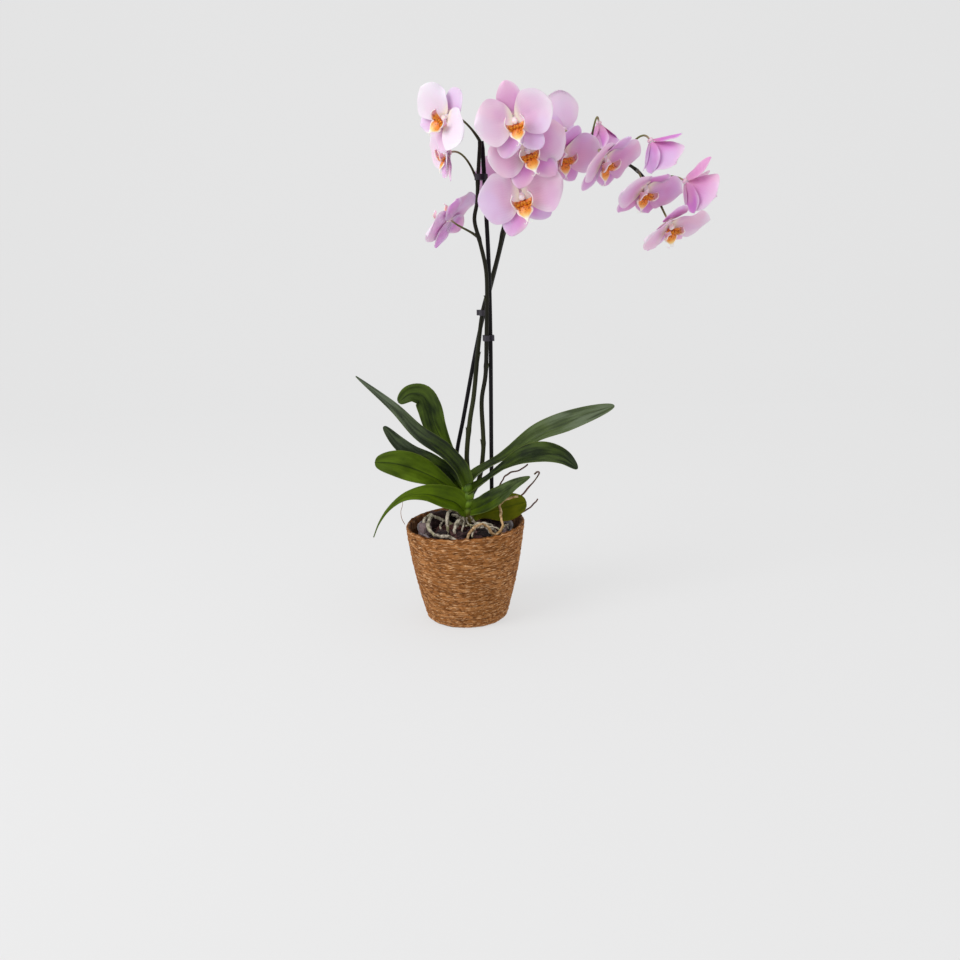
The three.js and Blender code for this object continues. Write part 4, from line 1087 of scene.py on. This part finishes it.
def make_spikes():
    """Each spike swells at its joints, and its flower stalks are part of it."""
    material = spike_look()
    for name, spike in SPIKES.items():
        curve = through(spike.path)
        blooms = [BLOOMS[number - 1] for number in spike.blooms]
        joints = spike.nodes + [bloom.joint for bloom in blooms]

        def radius(u, angle):
            swell = sum(np.exp(-((u - joint) / 0.008)**2) for joint in joints)
            uneven = 0.08 * waves(71, 4, 2 * angle, 40 * u)
            return blend(spike.radii, u) + 0.45 * np.minimum(swell, 1) + uneven

        shape = Shape("u", "stalk")
        tube(shape, curve, radius, 18, 260)
        for i, joint in enumerate(spike.nodes):
            add_bract(shape, curve, joint, blend(spike.radii, joint), 1.5 + 3.1 * i)
        for bloom in blooms:
            tube(shape, stalk_curve(curve, bloom),
                 lambda u, a: blend(STALK.radii, u) + 0.06 * waves(72, 4, 3 * a, 12 * u), 14, 40, stalk=1)
        piece("spike_" + name + "_stem", shape, material, "spike", "spike_" + name)


def add_tepal(shape, form, angle, lean, place, seed, **values):
    """A petal or sepal: the solid's form with a groove along it and a lightly waved edge."""
    rows, cols = form.grid
    u = eased(rows)
    v = np.sin(np.linspace(-1, 1, cols + 1) * math.pi / 2)[None, :]
    turn, tip = math.radians(angle), math.radians(lean)
    out = np.array([math.cos(turn), math.sin(turn), 0])
    across = np.array([-math.sin(turn), math.cos(turn), 0])
    half = half_width(u, form.half, form.base, form.peak, form.full)
    half = half * (1 + 0.05 * waves(seed, 3, 9 * u, np.sign(v)) * np.abs(v))
    reach = form.inner + (form.length - form.inner) * u
    z = form.rise + np.hypot(reach, half * v) * math.sin(tip) + form.arch * u**2 * (v**2 + u**2)
    size = form.half / PETAL.half
    z = z - 0.9 * size * np.exp(-(v / 0.14)**2) * (1 - u) * rise(0, 0.2, u)
    z = z + 2.2 * size * np.abs(v)**3 * waves(seed + 1, 4, 8 * u, 0.6 * np.sign(v)) * rise(0.05, 0.4, u)
    z = z + 0.8 * size * waves(seed + 2, 4, 4 * u, 3 * v) * rise(0.1, 0.5, u)
    middle = out * (reach * math.cos(tip) + 0 * v)[..., None] + across * (half * v)[..., None]
    middle = middle + UP * z[..., None]
    thickness = TEPAL_THICK * (1 - 0.5 * v**2) * (1.25 - 0.5 * u)
    sheet(shape, middle, thickness, place, u=u, v=v, **values)


def add_column(shape, place):
    """The column: a rounded post that swells to a domed cap, over the bloom's middle."""
    hub, r, top = HUB.radius, HUB.column_radius, HUB.column
    profile = [[0.05, -HUB.depth], [hub * 0.6, -HUB.depth * 0.8], [hub * 0.85, -1], [hub * 0.75, 1],
               [r + 0.6, 2.6], [r - 0.3, 4.4], [r - 0.2, 6], [r + 0.2, 7.6], [r + 0.1, 8.6], [r - 0.5, 9.4],
               [r * 0.5, top + 0.7], [0.05, top + 0.8]]

    def bend(points):
        points[:, 1] -= 0.02 * np.maximum(points[:, 2], 0)**2
        points[:, 0] *= 1 + 0.12 * rise(5, 9, points[:, 2])
        return place(points)

    lathe(shape, blend(profile, np.linspace(0, 1, 45)), 24, bend)


def middle_outline(u):
    """The middle lobe: narrow at its foot, widest past its middle and pointed."""
    return 0.45 + 0.6 * np.exp(-((u - 0.5) / 0.24)**2) - 0.38 * rise(0.6, 1, u)


def horn_outline(u):
    """A side lobe: wide below and narrowing to a blunt upright horn."""
    return 0.55 + 0.5 * np.sin(math.pi * np.minimum(u * 1.25, 1))**0.8 - 0.12 * u


def add_lobe(shape, points, half, outline, cup, grid, place, lobe):
    """A lip lobe along a curve, cupped towards the bloom's middle."""
    curve = through(points)
    u = np.linspace(0, 1, grid[0] + 1)[:, None]
    v = np.linspace(-1, 1, grid[1] + 1)[None, :]
    tangent = curve.tangent(u[:, 0])
    up, across = unit(np.cross(RIGHT, tangent)), unit(np.cross(cup, tangent))
    width = half * outline(u)
    middle = curve.at(u) + across[:, None] * (width * v)[..., None]
    middle = middle + up[:, None] * (width * v**2 * 0.3)[..., None]
    sheet(shape, middle, LIP.thickness, place, u=u, v=v, lobe=lobe)


def make_lip(bloom, label, lip_material, callus_material):
    """The lip with side lobes and tendrils, and the callus. A cupped bloom's lip is drawn in."""
    place = bloom_place(bloom)
    spread, raised = (LIP.spread, LIP.raised) if bloom.cupped else (1, 0)

    def drawn(points, mirror=1):
        return [[mirror * spread * x, spread * y, z + raised] for x, y, z in points]

    shape = Shape("u", "v", "lobe")
    half = LIP.middle_half * spread
    add_lobe(shape, drawn(LIP_MIDDLE), half, middle_outline, (0, 1, 1), (30, 16), place, 0)
    for mirror in (1, -1):
        half = LIP.side_half * spread
        add_lobe(shape, drawn(LIP_SIDE, mirror), half, horn_outline, (mirror, 0, 0), (22, 10), place, 1)
        cirrus = through(drawn(LIP_CIRRUS, mirror))
        tube(shape, cirrus, lambda u, a: LIP.cirrus - 0.25 * u, 8, 18, place, u=1, lobe=0)
    piece(label + "_labellum", shape, lip_material, "lip", label + "_lip")
    callus = Shape()
    for mirror in (1, -1):
        for knob, thick in LIP_KNOBS:
            tube(callus, through(drawn(knob, mirror)),
                 lambda u, a: thick * (1 - 0.5 * u**2) * spread, 10, 10, place)
    piece(label + "_callus", callus, callus_material, "lip")


def make_petals(bloom, label, seed, petal_material, column_material):
    place = bloom_place(bloom)
    shape = Shape("u", "v", "side", "sepal", "pale")
    for i, angle in enumerate(PETAL_ANGLES):
        add_tepal(shape, PETAL, angle, bloom.petal, place, seed + i, sepal=0, pale=bloom.pale)
    leans = (*bloom.lateral, bloom.dorsal)
    for angle, lean, shift in zip(SEPAL_ANGLES, leans, (3, 4, 6)):
        add_tepal(shape, SEPAL, angle, lean, place, seed + shift, sepal=1, pale=bloom.pale * 0.5)
    piece(label + "_tepals", shape, petal_material, "petal", label + "_petals")
    column = Shape("u")
    add_column(column, place)
    piece(label + "_column", column, column_material, "petal")


def make_blooms():
    petal, column, lip, callus = petal_look(), column_look(), lip_look(), callus_look()
    for number, bloom in enumerate(BLOOMS, 1):
        label = "bloom_%02d" % number
        make_petals(bloom, label, 1000 + 10 * number, petal, column)
        make_lip(bloom, label, lip, callus)


def dress_clips(frame):
    material = clip_look()
    for name, node in frame["nodes"].items():
        if name.startswith("clip_"):
            node.data.materials.clear()
            node.data.materials.append(material)


# Stage


def make_stage():
    """A pale floor that sweeps up behind into an even backdrop."""
    profile = [[SWEEP.front, 0.0], [SWEEP.back, 0.0]]
    for angle in np.linspace(0, math.pi / 2, SWEEP.steps + 1)[1:]:
        profile.append([SWEEP.back + SWEEP.bend * math.sin(angle), SWEEP.bend * (1 - math.cos(angle))])
    profile.append([SWEEP.back + SWEEP.bend, SWEEP.top])
    points = [[x, y, z] for y, z in profile for x in (-SWEEP.half, SWEEP.half)]
    mesh = bpy.data.meshes.new("sweep")
    mesh.from_pydata(points, [], [[2 * i, 2 * i + 1, 2 * i + 3, 2 * i + 2] for i in range(len(profile) - 1)])
    mesh.shade_smooth()
    look = Look("sweep_look", Roughness=0.95, Specular_IOR_Level=0.05, Emission_Strength=SWEEP.glow,
                Emission_Color=(255, 255, 255))
    mesh.materials.append(look.done(look.mix(look.noise(1.5), (120, 120, 120), (123, 123, 124))))
    put("sweep", mesh)


def make_light():
    world = bpy.data.worlds.new("studio")
    world.use_nodes = True
    background = world.node_tree.nodes["Background"]
    background.inputs["Color"].default_value = (1.0, 1.0, 1.0, 1.0)
    background.inputs["Strength"].default_value = WORLD_STRENGTH
    bpy.context.scene.world = world
    for name, place, size, power in LIGHTS:
        light = bpy.data.lights.new(name, "AREA")
        light.shape = "SQUARE"
        light.size = size
        light.energy = power
        aim = (Vector(place) - Vector(LIT_POINT)).to_track_quat("Z", "Y").to_matrix().to_4x4()
        put(name, light).matrix_world = Matrix.Translation(place) @ aim
    bpy.context.scene.view_settings.view_transform = "Standard"


def make_camera():
    data = bpy.data.cameras.new("viewer")
    data.lens = CAMERA.lens
    data.sensor_width = CAMERA.sensor
    data.clip_end = CAMERA.far
    camera = put("viewer", data)
    tilt = Matrix.Rotation(math.radians(CAMERA.tilt), 4, "X")
    roll = Matrix.Rotation(math.radians(CAMERA.roll), 4, "Z")
    camera.matrix_world = Matrix.Translation(CAMERA.place) @ tilt @ roll
    bpy.context.scene.camera = camera


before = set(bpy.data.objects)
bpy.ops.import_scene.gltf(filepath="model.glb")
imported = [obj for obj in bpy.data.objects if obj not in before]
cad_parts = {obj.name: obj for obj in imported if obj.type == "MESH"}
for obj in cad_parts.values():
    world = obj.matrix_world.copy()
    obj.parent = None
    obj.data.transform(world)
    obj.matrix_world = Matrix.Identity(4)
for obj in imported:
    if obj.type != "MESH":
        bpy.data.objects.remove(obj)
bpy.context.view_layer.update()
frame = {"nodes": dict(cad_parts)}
make_camera()
make_light()
make_stage()
make_basket()
make_pot()
make_bark()
make_stem()
make_leaves()
for name, roots in ROOTS.items():
    make_roots(name, roots)
make_sticks()
make_spikes()
make_blooms()
dress_clips(frame)
